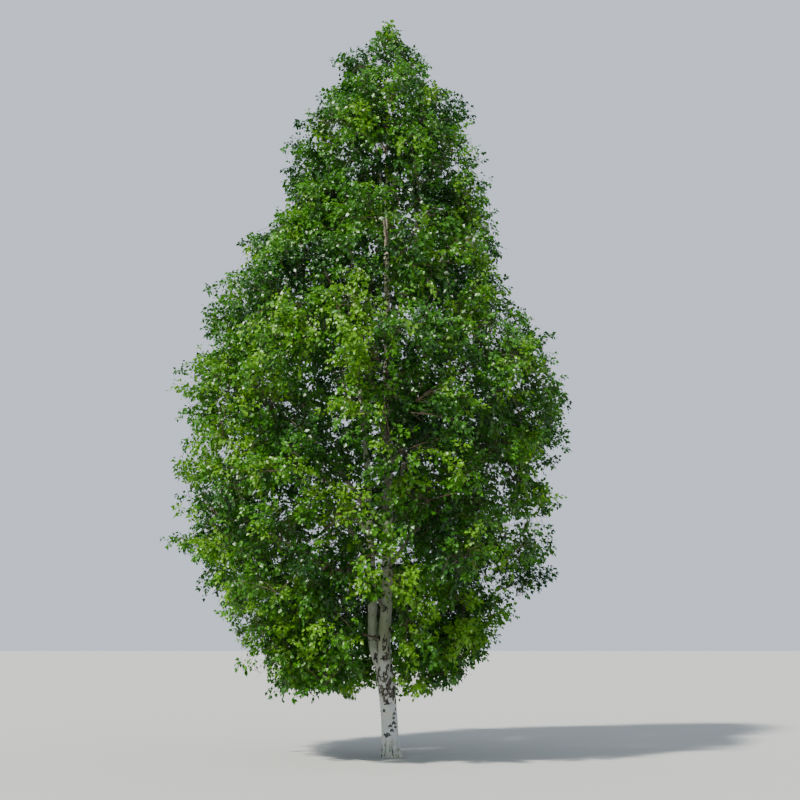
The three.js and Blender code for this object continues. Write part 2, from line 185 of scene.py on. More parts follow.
def smoothAt(rows, height, column):
    # a smooth curve through rows of a table that are ordered by height
    rows = np.asarray(rows, float)
    levels, values = rows[:, 0], rows[:, column]
    last = len(levels) - 1
    before, after = np.maximum(np.arange(last + 1) - 1, 0), np.minimum(np.arange(last + 1) + 1, last)
    slope = (values[after] - values[before]) / (levels[after] - levels[before])
    place = np.clip(height, levels[0], levels[-1])
    k = np.minimum(np.searchsorted(levels[1:], place), last - 1)
    span = levels[k + 1] - levels[k]
    t = (place - levels[k]) / span
    rise = t * t * (3 - 2 * t)
    return mix(values[k], values[k + 1], rise) + span * (
        slope[k] * t * (1 - t) ** 2 - slope[k + 1] * t * t * (1 - t))


def crownReach(height, azimuth):
    left, right = smoothAt(crownProfile, height, 1), smoothAt(crownProfile, height, 2)
    return (left + right) / 2 + (right - left) / 2 * np.cos(azimuth)


def lineAt(rows, height):
    # the point, or points, of a stem's middle line
    across, deep = smoothAt(rows, height, 1), smoothAt(rows, height, 2)
    return np.stack([across, deep, np.asarray(height, float)], axis=-1)


def leaderRadius(height):
    if height > leader["aboveForkHeight"]:
        share = (height - leader["aboveForkHeight"]) / (leader["top"] - leader["aboveForkHeight"])
        return mix(leader["aboveFork"], leader["topRadius"], share)
    pastFork = height - leader["forkHeight"]
    flare = leader["flare"] * math.exp(-height / leader["flareHeight"])
    swell = leader["forkSwell"] * math.exp(-(pastFork / leader["forkSpread"]) ** 2)
    neck = max(0, pastFork / (leader["aboveForkHeight"] - leader["forkHeight"]))
    return mix(leader["buttRadius"], leader["aboveFork"], neck) + flare + swell * (1 - neck)


def secondRadius(height):
    share = (height - second["foot"]) / (second["top"] - second["foot"])
    return mix(second["footRadius"], second["topRadius"], share)


def unit(vectors):
    return vectors / np.linalg.norm(vectors, axis=-1, keepdims=True)


class Arc:
    # a curve in one upright plane, from its root to its tip, by one control point
    def __init__(self, root, control, tip):
        self.root, self.control, self.tip = root, control, tip
        ways = (control - root, tip - control, tip - root)
        self.length = sum(np.linalg.norm(way) for way in ways) / 2

    def pointAt(self, t):
        t = np.asarray(t, float)[..., None]
        return (1 - t) ** 2 * self.root + 2 * t * (1 - t) * self.control + t * t * self.tip

    def headingAt(self, t):
        t = np.asarray(t, float)[..., None]
        return unit((1 - t) * (self.control - self.root) + t * (self.tip - self.control))


def evenHeights(count):
    # heights that share the crown's surface out evenly among the boughs
    shares = (np.arange(bough["slices"]) + 0.5) / bough["slices"]
    heights = mix(bough["lowestTip"], bough["highestTip"], shares)
    surface = np.cumsum(crownReach(heights, math.pi / 2))
    goals = surface[-1] * (np.arange(count) + 0.5) / count
    return heights[np.searchsorted(surface, goals)]


def planBoughs():
    dice = makeDice(bough["seed"])
    planned = []
    for i, tipHeight in enumerate(evenHeights(bough["count"])):
        heading = bough["firstAzimuth"] + i * goldenAngle + either(dice, bough["azimuthJitter"])
        share = (tipHeight - bough["lowestTip"]) / (bough["highestTip"] - bough["lowestTip"])
        sprayLength = mix(spray["longest"], spray["shortest"], share)
        reach = crownReach(tipHeight, heading) - bough["tipInside"] * sprayLength
        rise = mix(bough["riseAtFoot"], bough["riseAtTop"], math.sqrt(share))
        tip = np.array((reach * math.cos(heading), reach * math.sin(heading), tipHeight))
        rootHeight = max(tipHeight - reach * math.tan(rise), bough["lowestRoot"] + i * bough["rootStep"])
        turn = math.remainder(heading - second["azimuth"], 2 * math.pi)
        fromSecond = (abs(turn) < secondBearing["spread"]
                      and secondBearing["lowest"] < rootHeight < secondBearing["highest"])
        root = lineAt(secondLine if fromSecond else leaderLine, rootHeight)
        halfWay = math.hypot(tip[0] - root[0], tip[1] - root[1]) / 2
        azimuth = math.atan2(tip[1] - root[1], tip[0] - root[0])
        leave = min(max(rise, 0) + bough["leaveSteeper"], bough["steepest"])
        control = root + halfWay * np.array((math.cos(azimuth), math.sin(azimuth), math.tan(leave)))
        curve = Arc(root, control, tip)
        planned.append({
            "number": f"{i + 1:02d}", "curve": curve, "fromSecond": fromSecond, "share": share,
            "sprayLength": sprayLength,
            "rootRadius": bough["thinnest"] + bough["thickness"] * curve.length,
        })
    return planned


def boughRadius(limb, t):
    return limb["rootRadius"] * mix(1, bough["tipThickness"], t)


def planTopMass(name, rows, top, startRadius, tip, share):
    root = lineAt(rows, top)
    tip = np.array(tip, float)
    length = np.linalg.norm(tip - root)
    control = root + unit(root - lineAt(rows, top - length)) * topMass["startsStraight"] * length
    curve = Arc(root, control, tip)
    heading = curve.headingAt(0)
    return {
        "name": name, "curve": curve, "from": 0, "share": share, "startRadius": startRadius,
        "clear": stem["gap"] + startRadius * math.hypot(heading[0], heading[1]) / heading[2],
        "sprayLength": mix(spray["longest"], spray["shortest"], share),
    }


def planMasses(boughs):
    planned = [{
        "name": "foliage_" + limb["number"], "curve": limb["curve"], "from": bough["share"],
        "clear": stem["gap"], "share": limb["share"], "sprayLength": limb["sprayLength"],
        "startRadius": boughRadius(limb, bough["share"]),
    } for limb in boughs]
    planned.append(planTopMass("foliage_leader_top", leaderLine, leader["top"], leader["topRadius"],
                               topMass["leaderTip"], 1))
    planned.append(planTopMass("foliage_second_top", secondLine, second["top"], second["topRadius"],
                               topMass["secondTip"], topMass["secondShare"]))
    for mass in planned:
        curve, step = mass["curve"], 0.001
        speed = np.linalg.norm(curve.pointAt(mass["from"] + step) - curve.pointAt(mass["from"])) / step
        mass["from"] += mass["clear"] / speed
        mass["line"] = curve.pointAt(mix(mass["from"], 1, np.arange(stem["rings"] + 1) / stem["rings"]))
    return planned


def limbLine(pointAt, radiusAt, start, end):
    places = [mix(start, end, k / room["limbPieces"]) for k in range(room["limbPieces"] + 1)]
    return [np.array([valueAt(place) for place in places]) for valueAt in (pointAt, radiusAt)]


def nearestOn(points, starts, ends):
    # from each point to each straight piece, and how far along the piece
    ways = ends - starts
    t = (points @ ways.T - (starts * ways).sum(1)) / (ways ** 2).sum(1)
    t = np.clip(t, 0, 1)
    gaps = points[:, None] - (starts + t[..., None] * ways)
    return np.sqrt(np.einsum("nmk,nmk->nm", gaps, gaps)), t


def inShares(points, task, size=4000):
    # the same task on some thousands of points at a time
    return np.concatenate([task(points[k:k + size]) for k in range(0, max(1, len(points)), size)])


class Space:
    # the space that each mass has to itself, and the room that the limbs take
    def __init__(self, masses, limbs):
        self.count = len(masses)
        self.starts = np.concatenate([mass["line"][:-1] for mass in masses])
        self.ends = np.concatenate([mass["line"][1:] for mass in masses])
        self.limbStarts = np.concatenate([line[:-1] for line, radii in limbs])
        self.limbEnds = np.concatenate([line[1:] for line, radii in limbs])
        self.startRadii = np.concatenate([radii[:-1] for line, radii in limbs])
        self.endRadii = np.concatenate([radii[1:] for line, radii in limbs])

    def massGaps(self, points):
        def task(some):
            return nearestOn(some, self.starts, self.ends)[0].reshape(len(some), self.count, -1).min(2)
        return inShares(points, task)

    def owned(self, points, owners, margin):
        gaps = self.massGaps(points)
        rows = np.arange(len(points))
        own = gaps[rows, owners].copy()
        gaps[rows, owners] = np.inf
        return gaps.min(1) >= own + margin

    def clear(self, points, gap):
        def task(some):
            reach, t = nearestOn(some, self.limbStarts, self.limbEnds)
            return (reach - mix(self.startRadii, self.endRadii, t)).min(1)
        return inShares(points, task) > gap


def sideways(direction):
    pole = np.where(np.abs(direction[..., 2:]) > 0.95, (1.0, 0.0, 0.0), (0.0, 0.0, 1.0))
    across = unit(np.cross(direction, pole))
    return across, unit(np.cross(across, direction))


def leaving(direction, angle, roll):
    # a direction that leaves another by an angle, turned round it by a roll
    across, over = sideways(direction)
    angle, roll = np.asarray(angle, float)[..., None], np.asarray(roll, float)[..., None]
    return unit(direction * np.cos(angle) + across * np.sin(angle) * np.cos(roll)
                + over * np.sin(angle) * np.sin(roll))


def insideCrown(points, edgeWave=0, hang=0):
    x, y, z = points.T
    reach = crownReach(z, np.arctan2(y, x)) * (room["overReach"] + edgeWave)
    inFront = (y < 0) & (z < openFront["top"])
    inFront &= np.abs(x - openFront["middle"]) < openFront["halfWidth"]
    low, high = (np.array(corner[:2]) for corner in cadBox)
    inBox = (np.abs(points[:, :2] - (low + high) / 2) < (high - low) / 2 + room["pastBox"]).all(1)
    lowest = crownProfile[0][0] - edgeWave * room["lowEdge"] - hang
    return (z > lowest) & (z < treeHeight) & (np.hypot(x, y) < reach) & ~inFront & inBox


def growTwigs(index, mass, space):
    # the twigs that the solids have: the same draws, each cut back until it fits
    dice = makeDice(bough["seed"] + bough["seedStep"] * (index + 1))
    scale = mass["sprayLength"] / spray["longest"]
    startRoll = dice() * 2 * math.pi
    roots, ends = [], []
    for k in range(twig["count"]):
        place = mix(twig["first"], twig["last"], k / (twig["count"] - 1))
        angle = mix(twig["leaveAngle"], twig["leaveAngleAtTip"], place)
        roll = startRoll + k * goldenAngle + either(dice, twig["rollJitter"])
        length = mix(twig["longest"], twig["shortest"], place) * scale
        length *= 1 + either(dice, twig["lengthJitter"])
        t = mix(mass["from"], 1, place)
        root = mass["curve"].pointAt(t)
        heading = unit(leaving(mass["curve"].headingAt(t), angle, roll) + (0, 0, liftOf(mass)))
        trim = 1
        while trim > twig["shortestTrim"]:
            end = root + heading * length * trim
            way = np.array([mix(root, end, share) for share in testedAt])
            owners = np.full(len(way), index)
            if (insideCrown(way).all() and space.owned(way, owners, room["besideMass"]).all()
                    and space.clear(way, room["twigBesideLimb"]).all()):
                roots.append(root)
                ends.append(end)
                break
            trim -= twig["trimStep"]
    return np.array(roots).reshape(-1, 3), np.array(ends).reshape(-1, 3), startRoll


def liftOf(mass):
    return twig["lift"] if mass["share"] > twig["droopBelow"] else -twig["lift"]


# Finer growth, carried on by the same rule

fine = {"seed": 4127, "bow": 0.09, "sag": 0.04, "tipAngle": 0.25}
edge = {  # how the outline breaks into fingers
    "waves": 22, "base": -0.105, "depth": 0.135, "lowestWave": -0.4, "shortestWave": 0.4,
    "longestWave": 1.8, "around": 2.6, "atSides": 0.4, "sideSharpness": 3, "outlineAt": 0.035,
    "feather": 0.068, "featherBase": -0.035, "featherMost": 0.09, "twigsStay": 0.66, "fullAt": 0.45,
}
edgeSteps = (  # fingers and hollows: left -1, right 1 or all round 0, height, half height, how far out
    (0, 11.75, 0.26, -0.36), (0, 11.42, 0.12, -0.24),
    (-1, 11.14, 0.15, 0.62), (-1, 10.70, 0.12, -0.20), (-1, 10.30, 0.12, -0.12), (-1, 9.98, 0.10, 0.05),
    (-1, 9.70, 0.15, 0.20), (-1, 9.38, 0.16, 0.13), (-1, 8.90, 0.20, 0.07), (-1, 8.18, 0.12, -0.06),
    (-1, 7.86, 0.12, 0.30), (-1, 7.25, 0.20, 0.14), (-1, 6.72, 0.20, 0.17), (-1, 6.16, 0.10, -0.14),
    (-1, 5.88, 0.13, 0.27), (-1, 5.62, 0.08, -0.08), (-1, 5.36, 0.12, 0.06), (-1, 5.05, 0.15, -0.02),
    (-1, 4.54, 0.12, 0.08), (-1, 4.20, 0.30, 0.07), (-1, 3.62, 0.09, 0.05), (-1, 3.08, 0.13, 0.15),
    (-1, 2.70, 0.06, -0.05), (-1, 2.54, 0.10, 0.12), (-1, 2.10, 0.25, 0.17), (-1, 1.35, 0.30, 0.10),
    (1, 11.50, 0.25, -0.30), (1, 10.78, 0.20, -0.24), (1, 10.18, 0.12, 0.20), (1, 9.83, 0.08, -0.08),
    (1, 9.52, 0.12, -0.05), (1, 9.00, 0.15, 0.06), (1, 7.70, 0.10, 0.07), (1, 7.30, 0.20, -0.03),
    (1, 6.94, 0.15, -0.06), (1, 6.50, 0.10, -0.05), (1, 6.24, 0.14, 0.07), (1, 5.35, 0.22, 0.14),
    (1, 4.80, 0.30, 0.11), (1, 4.42, 0.08, 0.05), (1, 4.18, 0.10, -0.05), (1, 3.70, 0.20, 0.14),
    (1, 3.44, 0.06, -0.07), (1, 3.16, 0.20, 0.10), (1, 2.80, 0.15, 0.08), (1, 2.50, 0.15, 0.04),
)
filler = {  # more twigs between those of the solids, out to the edge of the mass's space
    "count": 22, "first": 0.0, "last": 0.99, "longest": 1.75, "shortest": 0.62, "placeJitter": 0.4,
    "angleJitter": 0.25, "rollJitter": 0.5, "radius": 0.0052, "tipRadius": 0.0018,
    "trims": np.linspace(1, 0.24, 14), "shares": testedAt, "margin": room["besideMass"] - 0.06,
    "gap": room["twigBesideLimb"],
}
sprigs = {  # small boughs straight from the two stems, inside the crown
    "spacing": 0.15, "leaderFrom": 2.3, "leaderTurn": 0.4, "secondFrom": 2.5, "secondTurn": 2.1,
    "angle": 52 * degree, "longest": 1.35, "shortest": 0.5, "heightJitter": 0.3, "angleJitter": 0.25,
    "rollJitter": 0.3, "ownedAt": 0.7, "trims": (1, 0.8, 0.6, 0.4), "shares": testedAt,
    "margin": None, "gap": room["twigBesideLimb"],
}
reaching = {  # twigs that grow on from the others into places that are still empty
    "seeds": 9000, "spotsDrawn": 6, "outside": 0.3, "deepest": 1.5, "leastDeep": 0.2, "emptyFor": 0.24,
    "besideLimb": 0.078, "downhill": 0.3, "longest": 1.15, "radius": 0.0036, "tipRadius": 0.0014,
    "carryAt": (0.35, 0.5, 0.65, 0.8, 0.95), "trims": (1, 0.8, 0.6), "shares": testedAt,
    "margin": None, "gap": room["twigBesideLimb"],
}
sideTwig = {
    "spacing": 0.13, "first": 0.12, "last": 0.99, "leaveAngle": 52 * degree, "angleJitter": 14 * degree,
    "longest": 0.6, "shortest": 0.24, "lengthJitter": 0.28, "lift": 0.1, "rollJitter": 0.9, "gap": 0.03,
    "radius": 0.0024, "tipRadius": 0.0012, "trims": (1, 0.75, 0.5, 0.3), "shares": (0.6, 1),
    "margin": -0.14, "feathered": True,
}
shoot = {
    "spacing": 0.05, "first": 0.14, "last": 1.0, "leaveAngle": 46 * degree, "angleJitter": 16 * degree,
    "longest": 0.21, "shortest": 0.12, "lengthJitter": 0.3, "lift": -0.12, "rollJitter": 1.2,
    "gap": 0.045, "radius": 0.0013, "tipRadius": 0.0006, "trims": (1, 0.6), "shares": (1,),
    "margin": None, "feathered": False,
}
inner = {"fullTo": 0.4, "fall": 0.65, "least": 0.2}  # fewer leaves deep inside the crown
crowd = {"cell": 0.3, "most": 28}  # no more shoots than this in a cube of this side
openings = (  # sky or dense leaves: across, height, half width, half height, how many shoots stay
    (-0.35, 9.15, 0.18, 0.17, 0.1), (0.97, 9.42, 0.22, 0.26, 0.15), (0.90, 9.08, 0.17, 0.16, 0.3),
    (1.28, 8.80, 0.18, 0.46, 0.2), (0.30, 8.26, 0.17, 0.45, 0.12), (-2.26, 7.14, 0.22, 0.20, 0.05),
    (-2.53, 6.86, 0.16, 0.15, 0.3), (1.58, 6.42, 0.28, 0.32, 0.08), (0.95, 5.85, 0.28, 0.20, 0.5),
    (2.08, 5.70, 0.24, 0.28, 0.4), (-2.56, 5.42, 0.24, 0.26, 0.2), (-1.60, 5.18, 0.18, 0.16, 0.1),
    (-0.92, 4.87, 0.22, 0.12, 0.7), (1.68, 4.95, 0.20, 0.24, 0.3), (2.14, 5.12, 0.18, 0.22, 0.2),
    (-2.52, 4.56, 0.16, 0.15, 0.4), (1.62, 4.02, 0.34, 0.38, 0.08), (-1.34, 3.99, 0.26, 0.18, 0.2),
    (-0.70, 3.99, 0.20, 0.16, 0.1), (1.78, 3.36, 0.28, 0.26, 0.1), (2.14, 3.36, 0.18, 0.42, 0.05),
    (-1.20, 3.31, 0.40, 0.20, 0.5), (-0.62, 3.32, 0.17, 0.17, 0.3), (-1.25, 3.00, 0.40, 0.16, 0.5),
    (-1.75, 2.95, 0.25, 0.20, 0.5), (1.48, 2.62, 0.28, 0.44, 0.08), (1.82, 2.42, 0.17, 0.18, 0.1),
    (-0.66, 2.20, 0.16, 0.15, 0.25), (-2.15, 2.08, 0.20, 0.15, 0.5), (-2.50, 3.10, 0.25, 0.60, 0.6),
    (-1.20, 5.70, 0.35, 0.40, 2.2), (-0.60, 4.55, 0.22, 0.40, 1.6), (0.40, 2.65, 0.45, 0.55, 1.6),
    (-0.10, 1.75, 0.40, 0.30, 2.0), (0.02, 9.35, 0.25, 0.25, 1.5), (-1.00, 10.00, 0.22, 0.35, 1.6),
)
stemShows = (  # stretches of stem seen: line, lowest, highest, half width, how many leaves stay
    (leaderLine, 7.84, 8.32, 0.055, 0.04), (leaderLine, 7.50, 7.74, 0.05, 0.25),
    (leaderLine, 6.60, 7.20, 0.045, 0.45), (leaderLine, 4.60, 5.40, 0.05, 0.35),
    (secondLine, 4.45, 5.45, 0.05, 0.3), (leaderLine, 2.20, 2.90, 0.085, 0.2),
    (leaderLine, 3.30, 3.90, 0.05, 0.5),
)
sunlit = (leaderLine, 7.60, 8.40, 0.13, 0.02)  # the stretch that the sun reaches
leaf = {
    "perShoot": 6, "length": 0.071, "lengthJitter": 0.26, "outerTo": 0.50, "fold": 16 * degree,
    "foldJitter": 12 * degree, "leaveAngle": 52 * degree, "tipAngle": 0.3, "rollJitter": 0.5,
    "axisScatter": 0.25, "droop": 0.55, "faceUp": 0.75, "faceOut": 0.45, "scatter": 0.55,
    "limbGap": 0.004, "neck": (0.045, 0.19), "shoulder": (0.37, 0.42),  # these two in leaf lengths
}


class Growth:
    # many twigs at once; feather says how far each may pass the edge of the crown
    parts = ("root", "way", "bow", "radius", "tipRadius", "mass", "spray", "feather")

    def __init__(self, root, way, bow, radius, tipRadius, mass, spray=None, feather=0.0):
        count = len(root)
        self.root, self.way, self.bow = root, way, bow
        self.radius, self.tipRadius = np.broadcast_to(radius, count), np.broadcast_to(tipRadius, count)
        self.mass = np.broadcast_to(mass, count)
        self.spray = np.zeros(count, int) if spray is None else spray
        self.feather = np.broadcast_to(feather, count)

    def __len__(self):
        return len(self.root)

    def lengths(self):
        return np.linalg.norm(self.way, axis=1)

    def pointAt(self, index, share):
        share = share[:, None]
        return self.root[index] + self.way[index] * share + self.bow[index] * 4 * share * (1 - share)

    def headingAt(self, index, share):
        return unit(self.way[index] + self.bow[index] * 4 * (1 - 2 * share[:, None]))

    def keep(self, chosen):
        return Growth(*(getattr(self, name)[chosen] for name in self.parts))


def joined(grown):
    return Growth(*(np.concatenate([getattr(part, name) for part in grown]) for name in Growth.parts))


def jitter(random, most, count):
    return random.uniform(-1, 1, count) * most


def bowed(random, way):
    # a gentle bow to one side, and a sag
    length = np.linalg.norm(way, axis=1, keepdims=True)
    side = unit(np.cross(way, random.normal(size=way.shape)))
    return length * (side * fine["bow"] * random.uniform(-1, 1, (len(way), 1)) + (0, 0, fine["sag"]))


def makeEdge(random):
    # a wave all round the crown, by azimuth and height, between about -1 and 1
    heading = unit(random.normal(size=(edge["waves"], 3)))
    waveLength = random.uniform(edge["shortestWave"], edge["longestWave"], edge["waves"])
    turns = heading * (2 * math.pi / waveLength)[:, None]
    phase = random.uniform(0, 2 * math.pi, edge["waves"])

    def edgeAt(points):
        azimuth = np.arctan2(points[:, 1], points[:, 0])
        circle = edge["around"] * np.stack([np.cos(azimuth), np.sin(azimuth)], axis=1)
        spots = np.concatenate([circle, points[:, 2:]], axis=1)
        wave = np.sin(spots @ turns.T + phase).sum(1) / math.sqrt(edge["waves"])
        toSide = np.cos(azimuth)
        facing = np.abs(toSide) ** edge["sideSharpness"]
        amount = np.clip(wave, edge["lowestWave"], 1) * edge["depth"] * mix(1, edge["atSides"], facing)
        amount += stepsAt(np.sign(toSide), points[:, 2], facing)
        return edge["base"] + amount

    return edgeAt


def stepsAt(side, height, facing):
    # how far the fingers and hollows of one side move the edge there
    amount = np.zeros(len(height))
    for stepSide, middle, halfHeight, out in edgeSteps:
        share = 1 if stepSide == 0 else facing * (side == stepSide)
        amount += out * share * np.exp(-((height - middle) / halfHeight) ** 2)
    return amount


def seenAtFoot(points):
    # where the camera sees each point in the upright plane through the foot: across and height
    nearness = (points[:, 1] + view["distance"]) / view["distance"]
    return (view["cameraX"] + (points[:, 0] - view["cameraX"]) / nearness,
            view["eyeHeight"] + (points[:, 2] - view["eyeHeight"]) / nearness)


def insideOutline(points, feather):
    # nothing is seen past the outline of the two sides, wherever it grows
    x, z = seenAtFoot(points)
    reach = crownReach(z, np.where(x < 0, math.pi, 0.0))
    return np.abs(x) < reach * (
        room["overReach"] + edge["base"] + edge["outlineAt"] + stepsAt(np.sign(x), z, 1) + feather)


def cutBack(root, way, owner, space, edgeAt, rule, feather=0):
    # the longest share of each way that stays in its space
    best, feather = np.zeros(len(root)), np.broadcast_to(feather, len(root))
    for trim in rule["trims"]:
        left = np.where(best == 0)[0]
        if not len(left):
            break
        good = np.ones(len(left), bool)
        for share in rule["shares"]:
            points = root[left] + way[left] * trim * share
            good &= insideCrown(points, edgeAt(points) + feather[left], room["hang"])
            good &= insideOutline(points, feather[left])
            if rule["margin"] is not None and good.any():
                good[good] = space.owned(points[good], owner[left][good], rule["margin"])
            if good.any():
                good[good] = space.clear(points[good], rule["gap"])
        best[left[good]] = trim
    return way * best[:, None], best > 0


def growMainTwigs(masses, space, edgeAt, random):
    order = np.arange(filler["count"])
    total = len(order)
    grown, carriers = [], []
    for index, mass in enumerate(masses):
        curve, scale = mass["curve"], mass["sprayLength"] / spray["longest"]
        roots, ends, startRoll = growTwigs(index, mass, space)
        place = (order + jitter(random, filler["placeJitter"], total)) / (total - 1)
        place = np.clip(mix(filler["first"], filler["last"], place), 0, filler["last"])
        t = mix(mass["from"], 1, place)
        angle = mix(twig["leaveAngle"], twig["leaveAngleAtTip"], place)
        angle += jitter(random, filler["angleJitter"], total)
        roll = startRoll + goldenAngle * (order + 0.5) + jitter(random, filler["rollJitter"], total)
        length = mix(filler["longest"], filler["shortest"], place) * scale
        length *= 1 + jitter(random, twig["lengthJitter"], total)
        heading = unit(leaving(curve.headingAt(t), angle, roll) + (0, 0, liftOf(mass)))
        root, owner = curve.pointAt(t), np.full(total, index)
        way, good = cutBack(root, heading * length[:, None], owner, space, edgeAt, filler)
        root, way = np.concatenate([roots, root[good]]), np.concatenate([ends - roots, way[good]])
        grown.append(Growth(root, way, bowed(random, way), filler["radius"], filler["tipRadius"], index))
        # the mass's own stem, which the bough's bark already follows on all but the two top masses
        start, end = curve.pointAt(mass["from"]), curve.pointAt(1)
        bow = curve.pointAt((mass["from"] + 1) / 2) - (start + end) / 2
        radii = (mass["startRadius"], filler["tipRadius"])
        own = Growth(start[None], (end - start)[None], bow[None], *radii, index)
        (grown if "top" in mass["name"] else carriers).append(own)
    return joined(grown), joined(carriers)


def growSprigs(rows, low, high, turn, space, edgeAt, random):
    # small boughs in a spiral up a stem, each in the mass whose space it reaches
    total = int((high - low) / sprigs["spacing"])
    order = np.arange(total)
    height = mix(low, high, (order + 0.5 + jitter(random, sprigs["heightJitter"], total)) / total)
    roll = turn + order * goldenAngle + jitter(random, sprigs["rollJitter"], total)
    angle = sprigs["angle"] * (1 + jitter(random, sprigs["angleJitter"], total))
    outward = np.sin(angle)
    heading = np.stack([outward * np.cos(roll), outward * np.sin(roll), np.cos(angle)], axis=1)
    length = mix(sprigs["longest"], sprigs["shortest"], (height - low) / (high - low))
    length *= 1 + jitter(random, twig["lengthJitter"], total)
    root = lineAt(rows, height)
    way, good = cutBack(root, heading * length[:, None], None, space, edgeAt, sprigs)
    root, way = root[good], way[good]
    owner = space.massGaps(root + way * sprigs["ownedAt"]).argmin(1)
    return Growth(root, way, bowed(random, way), filler["radius"], filler["tipRadius"], owner)


def growLevel(parents, rule, space, edgeAt, random):
    # side twigs along every parent in a spiral, shorter towards its tip, the last one straight on
    counts = np.maximum(1, np.round(parents.lengths() / rule["spacing"]).astype(int))
    owner = np.repeat(np.arange(len(parents)), counts)
    order = np.arange(len(owner)) - np.repeat(np.cumsum(counts) - counts, counts)
    total = len(owner)
    atTip = order == counts[owner] - 1
    place = mix(rule["first"], rule["last"], (order + 0.5) / counts[owner])
    place = np.where(atTip, rule["last"], place)
    angle = rule["leaveAngle"] + jitter(random, rule["angleJitter"], total)
    angle = np.where(atTip, angle * fine["tipAngle"], angle)
    roll = random.uniform(0, 2 * math.pi, len(parents))[owner] + order * goldenAngle
    roll += jitter(random, rule["rollJitter"], total)
    length = mix(rule["longest"], rule["shortest"], place)
    length *= 1 + jitter(random, rule["lengthJitter"], total)
    heading = unit(leaving(parents.headingAt(owner, place), angle, roll) + (0, 0, rule["lift"]))
    feather = parents.feather[owner]
    if rule["feathered"]:
        feather = random.normal(edge["featherBase"], edge["feather"], total)
        feather = np.minimum(feather, edge["featherMost"])
    root, mass = parents.pointAt(owner, place), parents.mass[owner]
    way, good = cutBack(root, heading * length[:, None], mass, space, edgeAt, rule, feather)
    radii = (rule["radius"], rule["tipRadius"])
    grown = Growth(root, way, bowed(random, way), *radii, mass, parents.spray[owner], feather)
    return grown.keep(good)


def seedPoints(random):
    # places all over the crown, more of them near its outline
    widest = max(max(row[1:]) for row in crownProfile)
    total = reaching["seeds"] * reaching["spotsDrawn"]
    low, high = (-widest, -widest, crownProfile[0][0]), (widest, widest, treeHeight)
    spots = random.uniform(low, high, (total, 3))
    depth = depthInside(spots)
    deepest = reaching["deepest"] * random.uniform(reaching["leastDeep"], 1, total)
    return spots[(depth > -reaching["outside"]) & (depth < deepest)][:reaching["seeds"]]


def growReaching(mains, carriers, space, edgeAt, random):
    # into each empty place, one twig from the nearest point of those that are there already
    parents = joined([mains, carriers])
    index = np.repeat(np.arange(len(parents)), len(reaching["carryAt"]))
    bases = parents.pointAt(index, np.tile(reaching["carryAt"], len(parents)))
    spots = seedPoints(random)
    spots = spots[insideCrown(spots, edgeAt(spots)) & insideOutline(spots, 0)]
    spots = spots[space.clear(spots, reaching["besideLimb"])]
    taken = np.concatenate([bases, parents.root + parents.way, np.zeros_like(spots)])
    filled = len(taken) - len(spots)
    ends, nearest = [], []
    for spot in spots:
        if ((taken[:filled] - spot) ** 2).sum(1).min() < reaching["emptyFor"] ** 2:
            continue
        away = ((bases - spot) ** 2).sum(1) + np.maximum(0, bases[:, 2] - spot[2]) * reaching["downhill"]
        near = away.argmin()
        if away[near] <= reaching["longest"] ** 2:
            ends.append(spot)
            nearest.append(near)
            taken[filled] = spot
            filled += 1
    root, mass = bases[nearest], parents.mass[index[nearest]]
    way = np.array(ends) - root
    bow = bowed(random, way)
    way, good = cutBack(root, way, mass, space, edgeAt, reaching)
    return Growth(root, way, bow, reaching["radius"], reaching["tipRadius"], mass).keep(good)


def depthInside(points):
    # how far a point lies inside the outline of the crown
    x, y, z = points.T
    return np.minimum(crownReach(z, np.arctan2(y, x)) - np.hypot(x, y), treeHeight - z)


def stayBefore(places):
    # how many of the leaves stay between the stems' open stretches and the camera or the sun
    x, z = seenAtFoot(places)
    stay = np.ones(len(places))
    for rows, low, high, halfWidth, share in stemShows:
        before = (np.abs(x - smoothAt(rows, z, 1)) < halfWidth) & (places[:, 1] < smoothAt(rows, z, 2))
        stay = np.where(before & (z > low) & (z < high), share, stay)
    rows, low, high, halfWidth, share = sunlit
    toSun = np.array(light["sunFrom"]) / math.hypot(*light["sunFrom"][:2])
    offset = places[:, :2] - lineAt(rows, (low + high) / 2)[:2]
    along, across = offset @ toSun[:2], offset @ (-toSun[1], toSun[0])
    height = places[:, 2] - along * toSun[2]
    before = (along > 0) & (np.abs(across) < halfWidth) & (height > low) & (height < high)
    return np.where(before, np.minimum(stay, share), stay)


def thinOutside(sides, random):
    # side twigs stand further apart near the outline
    depth = depthInside(sides.root + sides.way)
    share = mix(edge["twigsStay"], 1, np.clip(depth / edge["fullAt"], 0, 1))
    return sides.keep(random.uniform(size=len(sides)) < share)


def thinInside(shoots, random):
    depth = depthInside(shoots.root)
    share = np.clip(1 - (depth - inner["fullTo"]) * inner["fall"], inner["least"], 1)
    cells = np.floor((shoots.root + shoots.way) / crowd["cell"]).astype(int)
    _, place, count = np.unique(cells, axis=0, return_inverse=True, return_counts=True)
    share = share * np.minimum(1, crowd["most"] / (count[place.ravel()] * share))
    x, z = seenAtFoot(shoots.root)
    for across, height, halfWidth, halfHeight, stay in openings:
        off = ((x - across) / halfWidth) ** 2 + ((z - height) / halfHeight) ** 2
        share *= 1 + (stay - 1) * np.exp(-off)
    return shoots.keep(random.uniform(size=len(shoots)) < share)


# Meshes from arrays

twigForm = {"main": (4, 3), "side": (3, 2), "shoot": (3, 1)}  # sides and rings


